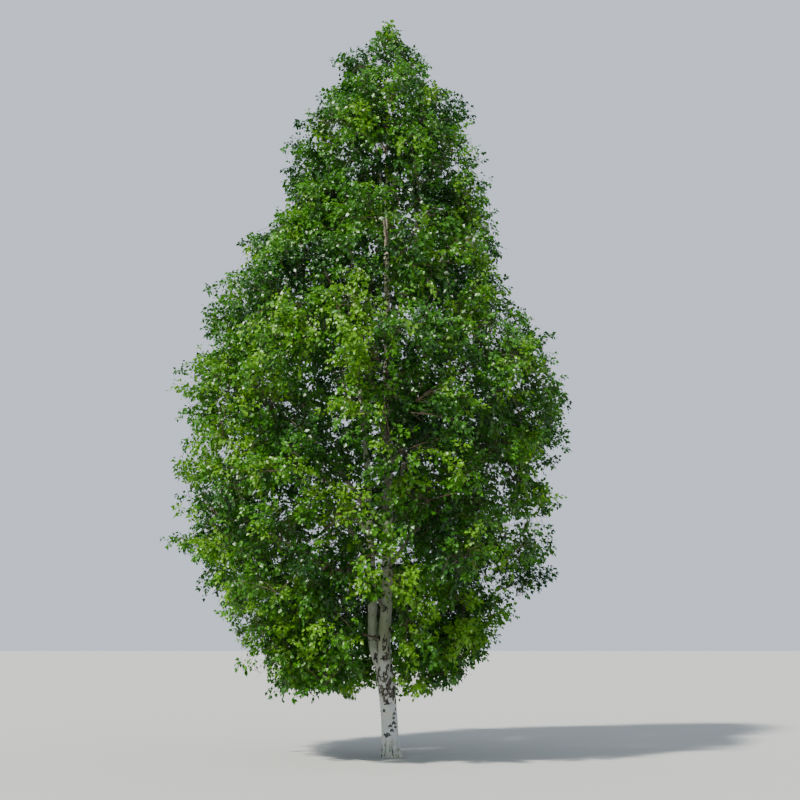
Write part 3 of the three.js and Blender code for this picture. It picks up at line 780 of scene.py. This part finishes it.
def meshFromArrays(name, points, faces, sizes, materialIndex=None):
    # faces is one long row of corner numbers, sizes says how many corners each face has
    mesh = bpy.data.meshes.new(name)
    mesh.vertices.add(len(points))
    mesh.vertices.foreach_set("co", np.ascontiguousarray(points, np.float32).ravel())
    mesh.loops.add(len(faces))
    mesh.loops.foreach_set("vertex_index", np.ascontiguousarray(faces, np.int32))
    mesh.polygons.add(len(sizes))
    starts = np.concatenate([[0], np.cumsum(sizes)[:-1]])
    mesh.polygons.foreach_set("loop_start", starts.astype(np.int32))
    if materialIndex is not None:
        mesh.polygons.foreach_set("material_index", materialIndex.astype(np.int32))
    mesh.update(calc_edges=True)
    piece = bpy.data.objects.new(name, mesh)
    bpy.context.scene.collection.objects.link(piece)
    return piece


def twigMesh(growth, form):
    # tapered twigs with a point at the tip and a closed root
    sides, rings = form
    count = len(growth)
    index, share = np.repeat(np.arange(count), rings), np.tile(np.arange(rings) / rings, count)
    across, over = sideways(growth.headingAt(index, share))
    radius = mix(growth.radius[index], growth.tipRadius[index], share)[:, None, None]
    turn = (2 * math.pi * np.arange(sides) / sides)[None, :, None]
    ring = np.cos(turn) * across[:, None] + np.sin(turn) * over[:, None]
    ring = growth.pointAt(index, share)[:, None] + radius * ring
    tips = growth.root + growth.way
    points = np.concatenate([ring.reshape(count, rings * sides, 3), tips[:, None]], axis=1)
    faces, sizes = [], []
    for r in range(rings):
        for s in range(sides):
            a, b = r * sides + s, r * sides + (s + 1) % sides
            face = [a, b, b + sides, a + sides] if r < rings - 1 else [a, b, rings * sides]
            faces += face
            sizes.append(len(face))
    faces += list(range(sides))[::-1]
    sizes.append(sides)
    allFaces = (np.array(faces)[None] + points.shape[1] * np.arange(count)[:, None]).ravel()
    return meshFromArrays("part", points.reshape(-1, 3), allFaces, np.tile(sizes, count))


def leafPoints(shoots, random):
    # leaves along each shoot by turns, and one at its tip
    count = leaf["perShoot"]
    index = np.repeat(np.arange(len(shoots)), count)
    order = np.tile(np.arange(count), len(shoots))
    total = len(index)
    place = (order + 1) / count
    base, along = shoots.pointAt(index, place), shoots.headingAt(index, place)
    roll = random.uniform(0, 2 * math.pi, len(shoots))[index] + order * goldenAngle
    roll += jitter(random, leaf["rollJitter"], total)
    angle = np.where(order == count - 1, leaf["tipAngle"], 1) * leaf["leaveAngle"]
    stray = random.normal(0, leaf["axisScatter"], (total, 3))
    axis = unit(leaving(along, angle, roll) + (0, 0, -leaf["droop"]) + stray)
    outward = unit(base * (1, 1, 0) + (1e-6, 0, 0))
    stray = random.normal(0, leaf["scatter"], (total, 3))
    across = unit(np.cross(axis, unit(stray + (0, 0, leaf["faceUp"]) + leaf["faceOut"] * outward)))
    size = leaf["length"] * (1 + jitter(random, leaf["lengthJitter"], total))
    return {"start": base, "axis": axis, "across": across, "normal": np.cross(across, axis),
            "size": size, "index": index, "outer": depthInside(base) < leaf["outerTo"]}


def leafMesh(name, leaves, random, shade):
    # a leaf is folded along its middle; one near the outside also has a thin neck
    fold = (leaf["fold"] + jitter(random, leaf["foldJitter"], len(shade)))[:, None]
    size, foot = leaves["size"][:, None], leaves["start"]

    def sidePoint(side, across, along):
        leant = side * np.cos(fold) * leaves["across"] + np.sin(fold) * leaves["normal"]
        return foot + size * (along * leaves["axis"] + across * leant)

    tip = foot + size * leaves["axis"]
    shoulders = [sidePoint(side, *leaf["shoulder"]) for side in (1, -1)]
    necks = [sidePoint(side, *leaf["neck"]) for side in (1, -1)]
    kinds = (
        (leaves["outer"], [foot, tip, *shoulders, *necks], (0, 4, 1, 4, 2, 1, 1, 5, 0, 1, 3, 5)),
        (~leaves["outer"], [foot, tip, *shoulders], (0, 2, 1, 1, 3, 0)),
    )
    points, faces, shadeNow, filled = [], [], [], 0
    for chosen, corners, pattern in kinds:
        corners = np.stack(corners, axis=1)[chosen]
        offsets = filled + corners.shape[1] * np.arange(len(corners))
        points.append(corners.reshape(-1, 3))
        faces.append((np.array(pattern)[None] + offsets[:, None]).ravel())
        shadeNow.append(np.repeat(shade[chosen], len(pattern) // 3))
        filled += len(points[-1])
    faces, shadeNow = np.concatenate(faces), np.concatenate(shadeNow)
    return meshFromArrays(name, np.concatenate(points), faces, np.full(len(shadeNow), 3), shadeNow)


# Materials

greens = (  # from dark to light: base colour, and how many sprays of ten take it; dealt out partly as painted light and painted shade
    ((0.008, 0.052, 0.004), 2.2), ((0.018, 0.090, 0.004), 2.6), ((0.032, 0.136, 0.004), 2.6),
    ((0.053, 0.188, 0.004), 1.8), ((0.100, 0.250, 0.006), 0.9),
)
# the greens are dealt by random clumps and each spray's own draw, with painted light towards the front
# and painted shade deep inside and at the sides of the outline
tone = {
    "clump": 0.8, "clumpSeed": 23, "clumpShare": 1.5, "ownShare": 0.4, "paintedShadeInside": 0.9,
    "deepest": 1.2, "paintedLightToward": (-0.02, -0.10, -0.03), "paintedShadeAtRim": 0.8, "rimDepth": 0.45,
    "rimSharpness": 4,
}
leafFinish = {"roughness": 0.36, "glow": 0.30, "glowGain": (1.4, 1.35, 0.9)}
twigFinish = {"color": (0.085, 0.050, 0.032), "roughness": 0.6}


def leafMaterial(name, color):
    material = plainMaterial(name, color, leafFinish["roughness"])
    nodes, links = material.node_tree.nodes, material.node_tree.links
    glow, blend = nodes.new("ShaderNodeBsdfTranslucent"), nodes.new("ShaderNodeMixShader")
    glowColor = [min(1, part * gain) for part, gain in zip(color, leafFinish["glowGain"])]
    glow.inputs["Color"].default_value = (*glowColor, 1)
    blend.inputs["Fac"].default_value = leafFinish["glow"]
    links.new(nodes["Principled BSDF"].outputs[0], blend.inputs[1])
    links.new(glow.outputs[0], blend.inputs[2])
    links.new(blend.outputs[0], nodes["Material Output"].inputs["Surface"])
    return material


def dealShades(sprays, random):
    # lighter greens in clumps that vary at random; painted light makes sprays lighter towards the front,
    # the left and lower down, painted shade makes them darker deep in the crown and along its outline at
    # the sides
    middle = sprays.root + sprays.way / 2
    value = tone["clumpShare"] * noiseAt(middle, 1 / tone["clump"], 1 / tone["clump"], tone["clumpSeed"])
    # each spray's own random tone, and painted light: lighter towards the front, the left and lower down
    value += tone["ownShare"] * random.normal(size=len(middle)) + middle @ tone["paintedLightToward"]
    # painted shade: darker deep inside the crown
    value -= tone["paintedShadeInside"] * np.clip(depthInside(middle) / tone["deepest"], 0, 1)
    # painted shade: darker along the outline at the left and right sides
    toSide = np.abs(middle[:, 0]) / np.hypot(middle[:, 0], middle[:, 1])
    rim = np.clip(1 - depthInside(middle) / tone["rimDepth"], 0, 1)
    value -= tone["paintedShadeAtRim"] * toSide ** tone["rimSharpness"] * rim
    rank = value.argsort().argsort() / len(value)
    shares = np.cumsum([share for _, share in greens])
    return np.searchsorted(shares / shares[-1], rank, side="right")


# Bark

trunkForm = {"sides": 36, "rings": 100, "crowding": 1.55, "smoothing": 2}
secondForm = {"sides": 24, "rings": 60, "crowding": 1.3, "smoothing": 2}
boughForm = {
    "sides": 12, "joints": 14, "smoothing": 1, "tipShare": 0.09, "collar": 0.45, "collarShare": 0.035,
    "doubles": 1e-5, "resolution": 4, "steps": 60, "paleFrom": 6.2, "paleTo": 7.6,
    "grainOut": 0.12, "fineShare": 0.5,
    "grain": (30, 30), "fineGrain": (75, 75, 5),  # noise: across, up, offset
    "fissuredFrom": (0.25, 0.5), "markedTo": (0.02, 0.06), "thinTo": (0.008, 0.04),
    "fissured": (0.8, 0.4), "marked": (0.9, 0.35), "thin": (1, 0.2),  # on an old bough and a young one
}
relief = {
    "lobes": 5, "lobeTurn": 1.1, "lobeDepth": 0.011, "lobeHeight": 0.22, "bulge": 0.006,
    "bulgeNoise": (3.2, 3.2), "ripple": 0.0016, "rippleNoise": (9, 60), "patchOut": 0.004,
    "fissure": 0.008, "fissureNoise": (34, 13, 11), "fissureNarrow": 3.2, "markDepth": 0.003,
    "collarOut": 0.012, "thinTo": (0.004, 0.018),
}
patch = {  # how a dark patch breaks up and fades
    "noise": (22, 15), "fineNoise": (50, 42, 7), "fineShare": 0.6, "edge": 0.12, "edgeNoise": (9, 5, 13),
    "fadeIn": 0.16, "fadeOut": 0.2, "fadeAround": (0.8, 1.1), "lift": 0.35, "level": (0.52, 0.76),
}
patches = (  # dark fissured bark: lowest, highest, from this bearing to that one, how much of it is dark
    {"low": 0.68, "high": 1.40, "from": -180, "to": 180, "dark": 0.40},
    {"low": 1.20, "high": 1.80, "from": -112, "to": -38, "dark": 0.34},
    {"low": -0.2, "high": 0.09, "from": -180, "to": 180, "dark": 0.22},
)
chevrons = {  # black marks like an upturned V on the white bark
    "seed": 88, "count": 46, "lowest": 0.3, "highest": 7.5, "widest": 0.085, "narrowest": 0.035,
    "slope": 0.45, "thickness": 0.022, "ends": 0.4, "ragged": 0.020, "raggedNoise": (60, 80, 3),
    "soft": 0.004, "crowding": 1.7, "aboveRoot": 0.06, "pastRoot": 2.1, "overCollar": 1.2,
    "around": (1.25, 1.6), "aroundDark": 0.85, "collarReach": 1.5, "within": 3, "withinMore": 0.05,
}
frontMarks = (  # the bold marks low on the front: height, bearing in degrees, half width
    (0.77, -98, 0.048), (0.68, -31, 0.024), (0.66, -125, 0.026), (0.62, -48, 0.032), (0.56, -56, 0.028),
    (0.49, -58, 0.044), (0.45, -86, 0.032), (0.43, -44, 0.034), (0.39, -74, 0.030), (0.335, -104, 0.038),
    (0.325, -133, 0.026),
)
# the mossy green is partly real algae and partly painted green shade under the crown and at the foot;
# the foot's dark green streaks are partly moss and partly a painted grass shadow
barkFinish = {
    "white": (0.57, 0.60, 0.60), "cream": (0.66, 0.60, 0.48), "mossAndGreenShade": (0.34, 0.385, 0.205),
    "black": (0.012, 0.012, 0.012), "brown": (0.25, 0.225, 0.18), "footMossAndGrassShadow": (0.10, 0.15, 0.085),
    "lenticel": (0.17, 0.145, 0.12), "thinBark": (0.075, 0.052, 0.036), "limbBark": (0.17, 0.148, 0.11),
    "warmBark": (0.60, 0.52, 0.34), "boughShade": 0.62, "bump": 0.55, "bumpDistance": 0.006,
    "peel": 0.5, "grain": 0.12, "lenticelDepth": 0.35, "fissureHeight": 1.6,
}
barkNoises = {  # scale, detail, and how much finer across and up
    "bands": (1, 3, 5, 26), "dashes": (1, 2.5, 26, 230), "wideDashes": (1, 2, 11, 120),
    "blotches": (3.2, 3), "grain": (120, 4), "cracks": (1, 5, 95, 42), "streaks": (1, 3, 30, 3),
}
barkRanges = {  # noise from, noise to, and how much at each end
    "cream": (0.42, 0.66, 0, 0.55), "moss": (0.3, 0.62, 0.45, 0.9), "streaks": (0.46, 0.60),
    "dashes": (0.60, 0.68, 0, 0.75), "wideDashes": (0.63, 0.70, 0, 0.65), "brown": (0.44, 0.64),
    "raggedFissure": (0.3, 0.7, -0.28, 0.28), "raggedMark": (0.3, 0.7, -0.2, 0.2),
    "fissured": (0.38, 0.62), "marked": (0.35, 0.6, 0, 0.96), "roughness": (0.3, 0.7, 0.52, 0.9),
}
barkHeights = {  # height from, height to, and how much at each end
    "moss": (1.15, 1.8), "mossAndShadeEnds": (4.0, 7.0, 1, 0.1), "mossAndShadeAtFoot": (0.02, 0.2, 0.45, 0),
    "streaks": (0.04, 0.36, 0.85, 0), "warm": (4.0, 7.0, 0, 0.75), "highUp": (6.2, 7.8, 1, 0.2),
}


def tubeAlong(name, rows, radiusAt, low, high, form):
    # a circle at the foot, extruded and scaled from ring to ring
    heights = mix(low, high, (np.arange(form["rings"] + 1) / form["rings"]) ** form["crowding"])
    bpy.ops.object.select_all(action="DESELECT")
    place, radius = lineAt(rows, low), radiusAt(low)
    bpy.ops.mesh.primitive_circle_add(
        vertices=form["sides"], radius=radius, fill_type="NGON", location=place)
    limb = bpy.context.object
    limb.name = name
    bpy.ops.object.transform_apply(location=True, rotation=True, scale=True)
    bpy.ops.object.mode_set(mode="EDIT")
    bpy.ops.mesh.select_all(action="SELECT")
    bpy.ops.transform.edge_crease(value=1)  # the flat cut keeps its rim
    for height in heights[1:]:
        onward = lineAt(rows, height)
        bpy.ops.mesh.extrude_region_move(TRANSFORM_OT_translate={"value": tuple(onward - place)})
        ratio = radiusAt(height) / radius
        bpy.ops.transform.resize(value=(ratio, ratio, 1), center_override=tuple(onward))
        place, radius = onward, radiusAt(height)
    bpy.ops.mesh.select_all(action="SELECT")
    bpy.ops.mesh.normals_make_consistent(inside=False)
    bpy.ops.object.mode_set(mode="OBJECT")
    smoothed(limb, form["smoothing"])
    return limb


def smoothed(limb, levelsUp):
    # a subdivision surface, applied
    selectOnly([limb])
    surface = limb.modifiers.new("smoother", "SUBSURF")
    surface.levels = surface.render_levels = levelsUp
    bpy.ops.object.modifier_apply(modifier=surface.name)
    bpy.ops.object.shade_smooth()


def selectOnly(items):
    # the first one becomes the active one
    bpy.ops.object.select_all(action="DESELECT")
    for item in items:
        item.select_set(True)
    bpy.context.view_layer.objects.active = items[0]


def curvedTube(name, curve, rootRadius):
    # a Bezier curve with a round section, turned into a mesh, with a collar at its root
    bpy.ops.object.select_all(action="DESELECT")
    bpy.ops.curve.primitive_bezier_curve_add()
    limb = bpy.context.object
    limb.name = name
    ends = limb.data.splines[0].bezier_points
    for point, place, first in ((ends[0], curve.root, True), (ends[1], curve.tip, False)):
        point.handle_left_type = point.handle_right_type = "FREE"
        inward = place + (curve.control - place) * 2 / 3
        outward = 2 * place - inward
        point.co = place
        point.handle_right = inward if first else outward
        point.handle_left = outward if first else inward
    bpy.ops.object.mode_set(mode="EDIT")
    bpy.ops.curve.select_all(action="SELECT")
    bpy.ops.curve.subdivide(number_cuts=boughForm["joints"] - 2)
    bpy.ops.object.mode_set(mode="OBJECT")
    limb.data.bevel_depth = 1
    limb.data.bevel_resolution = boughForm["sides"] // 2 - 2
    limb.data.resolution_u = boughForm["resolution"]
    limb.data.use_fill_caps = True
    points = limb.data.splines[0].bezier_points
    for k, point in enumerate(points):
        point.radius = boughBarkRadius(rootRadius, k / (len(points) - 1))
    bpy.ops.object.convert(target="MESH")
    limb = bpy.context.object
    bpy.ops.object.transform_apply(location=True, rotation=True, scale=True)
    bpy.ops.object.mode_set(mode="EDIT")
    bpy.ops.mesh.select_all(action="SELECT")
    bpy.ops.mesh.remove_doubles(threshold=boughForm["doubles"])
    bpy.ops.mesh.normals_make_consistent(inside=False)
    bpy.ops.object.mode_set(mode="OBJECT")
    smoothed(limb, boughForm["smoothing"])
    return limb


def boughBarkRadius(rootRadius, t):
    collar = boughForm["collar"] * math.exp(-t / boughForm["collarShare"])
    return rootRadius * mix(1, boughForm["tipShare"], t) * (1 + collar)


def noiseAt(points, across, up, offset=0):
    scaled = points * (across, across, up) + (offset, 0, 0)
    return np.array([noise.noise(place) for place in scaled.tolist()])


def softStep(low, high, value):
    t = np.clip((value - low) / (high - low), 0, 1)
    return t * t * (3 - 2 * t)


def makeChevrons(roots):
    # places of the marks on a stem: at each bough's root, in a group low on the front, and scattered
    dice = makeDice(chevrons["seed"])
    marks = [{
        "height": height, "bearing": bearing, "half": radius * chevrons["pastRoot"], "collar": radius,
    } for height, bearing, radius in roots]
    marks += [{"height": height, "bearing": bearing * degree, "half": half, "collar": 0}
              for height, bearing, half in frontMarks]
    for k in range(chevrons["count"]):
        share = ((k + dice()) / chevrons["count"]) ** chevrons["crowding"]
        height, bearing = mix(chevrons["lowest"], chevrons["highest"], share), dice() * 2 * math.pi
        half = mix(chevrons["narrowest"], chevrons["widest"], dice()) / 2
        marks.append({"height": height, "bearing": bearing, "half": half, "collar": 0})
    return marks


def pointsOf(mesh):
    points = np.empty(len(mesh.vertices) * 3, np.float32)
    mesh.vertices.foreach_get("co", points)
    return points.reshape(-1, 3).astype(float)


def noteBark(mesh, points, fissured, marked, thinness):
    # puts the points in place, with the three notes that the bark's material reads
    mesh.vertices.foreach_set("co", points.astype(np.float32).ravel())
    for name, values in (("fissured", fissured), ("marked", marked), ("thinness", thinness)):
        note = mesh.attributes.new(name, "FLOAT", "POINT")
        note.data.foreach_set("value", values.astype(np.float32))
    mesh.update()


def turnedFrom(middle, bearing):
    return np.remainder(bearing - middle + math.pi, 2 * math.pi) - math.pi


def patchesAt(points, bearing):
    # where the bark is dark and fissured
    height = points[:, 2] + patch["edge"] * noiseAt(points, *patch["edgeNoise"])
    coarse = noiseAt(points, *patch["noise"]) + patch["fineShare"] * noiseAt(points, *patch["fineNoise"])
    rough = np.zeros(len(points))
    for spot in patches:
        window = softStep(spot["low"], spot["low"] + patch["fadeIn"], height)
        window *= 1 - softStep(spot["high"] - patch["fadeOut"], spot["high"], height)
        middle = (spot["from"] + spot["to"]) / 2 * degree
        spread = (spot["to"] - spot["from"]) / 2 * degree
        if spread < math.pi:
            near, far = (spread * share for share in patch["fadeAround"])
            window *= 1 - softStep(near, far, np.abs(turnedFrom(middle, bearing)))
        level = coarse + window * (patch["lift"] + spot["dark"])
        rough = np.maximum(rough, softStep(*patch["level"], level))
    return rough


def marksAt(points, bearing, ring, marks):
    # how dark the marks are, and how far the collars at the boughs' roots swell
    ragged = chevrons["ragged"] * noiseAt(points, *chevrons["raggedNoise"])
    mark, collar = np.zeros(len(points)), np.zeros(len(points))
    for item in marks:
        rise = points[:, 2] - item["height"]
        near = np.abs(rise) < item["half"] * chevrons["within"] + chevrons["withinMore"]
        arc, rise = turnedFrom(item["bearing"], bearing[near]) * ring[near], rise[near]
        line = np.abs(rise + chevrons["slope"] * np.abs(arc) - item["collar"] * chevrons["overCollar"])
        width = chevrons["thickness"] * mix(1, chevrons["ends"], np.abs(arc) / item["half"])
        width += ragged[near]
        dark = softStep(-chevrons["soft"], chevrons["soft"], width - line) * (np.abs(arc) < item["half"])
        if item["collar"]:
            reach = np.hypot(arc, rise) / item["collar"]
            around = 1 - softStep(*chevrons["around"], reach)
            dark = np.maximum(dark, around * chevrons["aroundDark"])
            collar[near] = np.maximum(collar[near], np.exp(-(reach / chevrons["collarReach"]) ** 2))
        mark[near] = np.maximum(mark[near], dark)
    return mark, collar


def barkRelief(limb, rows, radiusAt, marks, low):
    # moves each point in or out, and notes where the bark is fissured, marked or thin
    points = pointsOf(limb.data)
    height = points[:, 2]
    out = points - lineAt(rows, height)
    distance = np.linalg.norm(out[:, :2], axis=1)
    heading = out / np.maximum(distance, 1e-6)[:, None]
    bearing = np.arctan2(out[:, 1], out[:, 0])
    ring = np.array([radiusAt(z) for z in height])
    size = np.clip(ring / leader["buttRadius"], 0, 1)
    rough = patchesAt(points, bearing)
    mark, collar = marksAt(points, bearing, ring, marks)
    fissures = 1 - np.abs(noiseAt(points, *relief["fissureNoise"])) * relief["fissureNarrow"]
    amount = relief["bulge"] * noiseAt(points, *relief["bulgeNoise"]) * size
    amount += relief["ripple"] * noiseAt(points, *relief["rippleNoise"]) * size
    if low == 0:
        lobes = np.cos(relief["lobes"] * bearing + relief["lobeTurn"])
        amount += relief["lobeDepth"] * lobes * np.exp(-height / relief["lobeHeight"])
    amount += rough * (relief["patchOut"] - relief["fissure"] * np.clip(fissures, 0, 1))
    amount += relief["collarOut"] * collar * size - relief["markDepth"] * mark * size
    points += heading * (amount * np.clip(distance / ring, 0, 1))[:, None]
    noteBark(limb.data, points, rough, mark, 1 - softStep(*relief["thinTo"], ring))


def boughRelief(limb, curve, rootRadius):
    # dark at its root, thin towards its tip, and paler the higher it starts
    points = pointsOf(limb.data)
    shares = np.linspace(0, 1, boughForm["steps"])
    t = shares[np.linalg.norm(points[:, None] - curve.pointAt(shares), axis=2).argmin(1)]
    radius = rootRadius * mix(1, boughForm["tipShare"], t)
    wave = noiseAt(points, *boughForm["grain"])
    wave += boughForm["fineShare"] * noiseAt(points, *boughForm["fineGrain"])
    highUp = softStep(boughForm["paleFrom"], boughForm["paleTo"], curve.root[2])
    points += (points - curve.pointAt(t)) * (boughForm["grainOut"] * wave)[:, None]
    fissured = softStep(*boughForm["fissuredFrom"], wave) * mix(*boughForm["fissured"], highUp)
    marked = (1 - softStep(*boughForm["markedTo"], t)) * mix(*boughForm["marked"], highUp)
    thinness = (1 - softStep(*boughForm["thinTo"], radius)) * mix(*boughForm["thin"], highUp)
    noteBark(limb.data, points, fissured, marked, thinness)


def barkGroup():
    # white bark that peels in bands, with lenticels, dark fissures and marks; thin limbs are brown
    group = bpy.data.node_groups.new("birchBark", "ShaderNodeTree")
    for name in ("Fissured", "Marked", "Thinness", "Shade"):
        group.interface.new_socket(name=name, in_out="INPUT", socket_type="NodeSocketFloat")
    for name, kind in (("Color", "Color"), ("Roughness", "Float"), ("Height", "Float")):
        group.interface.new_socket(name=name, in_out="OUTPUT", socket_type="NodeSocket" + kind)
    nodes, links = group.nodes, group.links
    given, result = nodes.new("NodeGroupInput").outputs, nodes.new("NodeGroupOutput").inputs
    place = nodes.new("ShaderNodeTexCoord").outputs["Object"]
    upward = nodes.new("ShaderNodeSeparateXYZ")
    links.new(place, upward.inputs[0])

    def feed(socket, value):
        # a link from another node, a colour or a number
        if isinstance(value, bpy.types.NodeSocket):
            links.new(value, socket)
        else:
            socket.default_value = (*value, 1) if isinstance(value, tuple) else value

    def speckle(scale, detail, across=1, up=1):
        mapping, texture = nodes.new("ShaderNodeMapping"), nodes.new("ShaderNodeTexNoise")
        mapping.inputs["Scale"].default_value = (across, across, up)
        links.new(place, mapping.inputs["Vector"])
        links.new(mapping.outputs[0], texture.inputs["Vector"])
        feed(texture.inputs["Scale"], scale)
        feed(texture.inputs["Detail"], detail)
        return texture.outputs["Fac"]

    def ranged(value, low, high, toLow=0, toHigh=1):
        node = nodes.new("ShaderNodeMapRange")
        node.interpolation_type = "SMOOTHSTEP"
        ends = {"Value": value, "From Min": low, "From Max": high, "To Min": toLow, "To Max": toHigh}
        for name, end in ends.items():
            feed(node.inputs[name], end)
        return node.outputs[0]

    def sums(kind, a, b):
        node = nodes.new("ShaderNodeMath")
        node.operation = kind
        feed(node.inputs[0], a)
        feed(node.inputs[1], b)
        return node.outputs[0]

    def tinted(share, a, b):
        node = nodes.new("ShaderNodeMix")
        node.data_type = "RGBA"
        for index, value in ((0, share), (6, a), (7, b)):
            feed(node.inputs[index], value)
        return node.outputs[2]

    noises = {name: speckle(*values) for name, values in barkNoises.items()}

    def masked(name, value=None):
        # by the noise of the same name, unless it is given another
        return ranged(noises[name] if value is None else value, *barkRanges[name])

    def byHeight(name):
        return ranged(upward.outputs[2], *barkHeights[name])

    finish, grain, cracks = barkFinish, noises["grain"], noises["cracks"]
    color = tinted(masked("cream", noises["bands"]), finish["white"], finish["cream"])
    # a mossy green, partly real algae and partly painted green shade, from about 1.2 m up, fading out
    # between 4 and 7 m, and at the foot
    moss = sums("MULTIPLY", byHeight("moss"), masked("moss", noises["blotches"]))
    moss = sums("MAXIMUM", sums("MULTIPLY", moss, byHeight("mossAndShadeEnds")), byHeight("mossAndShadeAtFoot"))
    color = tinted(moss, color, finish["mossAndGreenShade"])
    # dark green streaks at the foot, partly moss and partly a painted grass shadow
    color = tinted(sums("MULTIPLY", masked("streaks"), byHeight("streaks")), color, finish["footMossAndGrassShadow"])
    color = tinted(byHeight("warm"), color, finish["warmBark"])
    lenticels = sums("MAXIMUM", masked("dashes"), masked("wideDashes"))
    color = tinted(lenticels, color, finish["lenticel"])
    # boughs take a darker brown bark, less of it higher up
    color = tinted(sums("MULTIPLY", given["Shade"], byHeight("highUp")), color, finish["limbBark"])
    color = tinted(given["Thinness"], color, finish["thinBark"])
    ragged = sums("ADD", given["Fissured"], masked("raggedFissure", cracks))
    darkBark = tinted(masked("brown", cracks), finish["black"], finish["brown"])
    color = tinted(masked("fissured", ragged), color, darkBark)
    raggedMark = sums("ADD", given["Marked"], masked("raggedMark", grain))
    color = tinted(masked("marked", raggedMark), color, finish["black"])
    links.new(color, result["Color"])
    links.new(masked("roughness", ragged), result["Roughness"])
    peel = sums("MULTIPLY", noises["bands"], finish["peel"])
    raised = sums("ADD", peel, sums("MULTIPLY", grain, finish["grain"]))
    raised = sums("SUBTRACT", raised, sums("MULTIPLY", lenticels, finish["lenticelDepth"]))
    deep = sums("MULTIPLY", sums("MULTIPLY", given["Fissured"], cracks), finish["fissureHeight"])
    links.new(sums("ADD", raised, deep), result["Height"])
    return group


def barkMaterial(name, group, shade):
    material = bpy.data.materials.new(name)
    material.use_nodes = True
    nodes, links = material.node_tree.nodes, material.node_tree.links
    shader, effect = nodes["Principled BSDF"], nodes.new("ShaderNodeGroup")
    bump = nodes.new("ShaderNodeBump")
    effect.node_tree = group
    effect.inputs["Shade"].default_value = shade
    for note in ("Fissured", "Marked", "Thinness"):
        noted = nodes.new("ShaderNodeAttribute")
        noted.attribute_name = note.lower()
        links.new(noted.outputs["Fac"], effect.inputs[note])
    bump.inputs["Strength"].default_value = barkFinish["bump"]
    bump.inputs["Distance"].default_value = barkFinish["bumpDistance"]
    links.new(effect.outputs["Color"], shader.inputs["Base Color"])
    links.new(effect.outputs["Roughness"], shader.inputs["Roughness"])
    links.new(effect.outputs["Height"], bump.inputs["Height"])
    links.new(bump.outputs["Normal"], shader.inputs["Normal"])
    return material


# Build

makeStage()
print("camera, floor and light made")

birchBark = barkGroup()
stemMaterial = barkMaterial("stemBark", birchBark, 0)
boughMaterial = barkMaterial("boughBark", birchBark, barkFinish["boughShade"])
twigMaterial = plainMaterial("twigBark", twigFinish["color"], twigFinish["roughness"])
leafMaterials = [leafMaterial(f"leafGreen{k + 1}", color) for k, (color, _) in enumerate(greens)]
print("materials made")

boughs = planBoughs()
rootsOn = {True: [], False: []}
for limb in boughs:
    heading = limb["curve"].headingAt(0.0)
    height, bearing = limb["curve"].root[2] + chevrons["aboveRoot"], math.atan2(heading[1], heading[0])
    rootsOn[limb["fromSecond"]].append((height, bearing, limb["rootRadius"]))
trunk = tubeAlong("trunkBark", leaderLine, leaderRadius, 0, leader["top"], trunkForm)
barkRelief(trunk, leaderLine, leaderRadius, makeChevrons(rootsOn[False]), 0)
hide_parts("trunk")
secondStem = tubeAlong(
    "secondStemBark", secondLine, secondRadius, second["foot"], second["top"], secondForm)
barkRelief(secondStem, secondLine, secondRadius, makeChevrons(rootsOn[True]), second["foot"])
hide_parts("second_stem")
for limb in (trunk, secondStem):
    limb.data.materials.append(stemMaterial)
    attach(limb, "root")
print("stems made")

for limb in boughs:
    piece = curvedTube("bough" + limb["number"] + "Bark", limb["curve"], limb["rootRadius"])
    boughRelief(piece, limb["curve"], limb["rootRadius"])
    piece.data.materials.append(boughMaterial)
    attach(piece, "root")
    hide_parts("bough_" + limb["number"])
print("boughs made")

limbs = [
    limbLine(lambda height: lineAt(leaderLine, height), leaderRadius, 0, leader["top"]),
    limbLine(lambda height: lineAt(secondLine, height), secondRadius, second["foot"], second["top"]),
]
for limb in boughs:
    limbs.append(limbLine(limb["curve"].pointAt, lambda t: boughRadius(limb, t), 0, bough["share"]))
masses = planMasses(boughs)
space = Space(masses, limbs)
random = np.random.default_rng(fine["seed"])
edgeAt = makeEdge(random)
mains, carriers = growMainTwigs(masses, space, edgeAt, random)
for rows, low, high, turn in (
    (leaderLine, sprigs["leaderFrom"], leader["top"], sprigs["leaderTurn"]),
    (secondLine, sprigs["secondFrom"], second["top"], sprigs["secondTurn"]),
):
    mains = joined([mains, growSprigs(rows, low, high, turn, space, edgeAt, random)])
print("grown:", len(mains), "twigs")
reachers = growReaching(mains, carriers, space, edgeAt, random)
print("grown:", len(reachers), "more into empty places")
mains = joined([mains, reachers])
sides = thinOutside(growLevel(joined([mains, carriers]), sideTwig, space, edgeAt, random), random)
sides.spray = np.arange(len(sides))
print("grown:", len(sides), "side twigs")
shoots = thinInside(growLevel(sides, shoot, space, edgeAt, random), random)
leaves = leafPoints(shoots, random)
tips = leaves["start"] + leaves["axis"] * leaves["size"][:, None]
staying = space.clear(tips, leaf["limbGap"])
staying &= random.uniform(size=len(tips)) < stayBefore((leaves["start"] + tips) / 2)
leaves = {key: value[staying] for key, value in leaves.items()}
print("grown:", len(shoots), "shoots,", len(leaves["size"]), "leaves")

shades = dealShades(sides, random)
levels = ((mains, twigForm["main"]), (sides, twigForm["side"]), (shoots, twigForm["shoot"]))
leafMass = shoots.mass[leaves["index"]]
leafShade = shades[shoots.spray[leaves["index"]]]
for index, mass in enumerate(masses):
    name = mass["name"].replace("foliage_", "foliage")
    chosen = leafMass == index
    part = {key: value[chosen] for key, value in leaves.items()}
    piece = leafMesh(name + "Leaves", part, random, leafShade[chosen])
    for material in leafMaterials:
        piece.data.materials.append(material)
    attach(piece, "root")
    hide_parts(mass["name"])
    wood = [twigMesh(grown.keep(grown.mass == index), form) for grown, form in levels]
    selectOnly(wood)
    bpy.ops.object.join()
    wood[0].name = name + "Twigs"
    wood[0].data.materials.append(twigMaterial)
    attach(wood[0], "root")
    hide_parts(mass["name"])
print("foliage made")
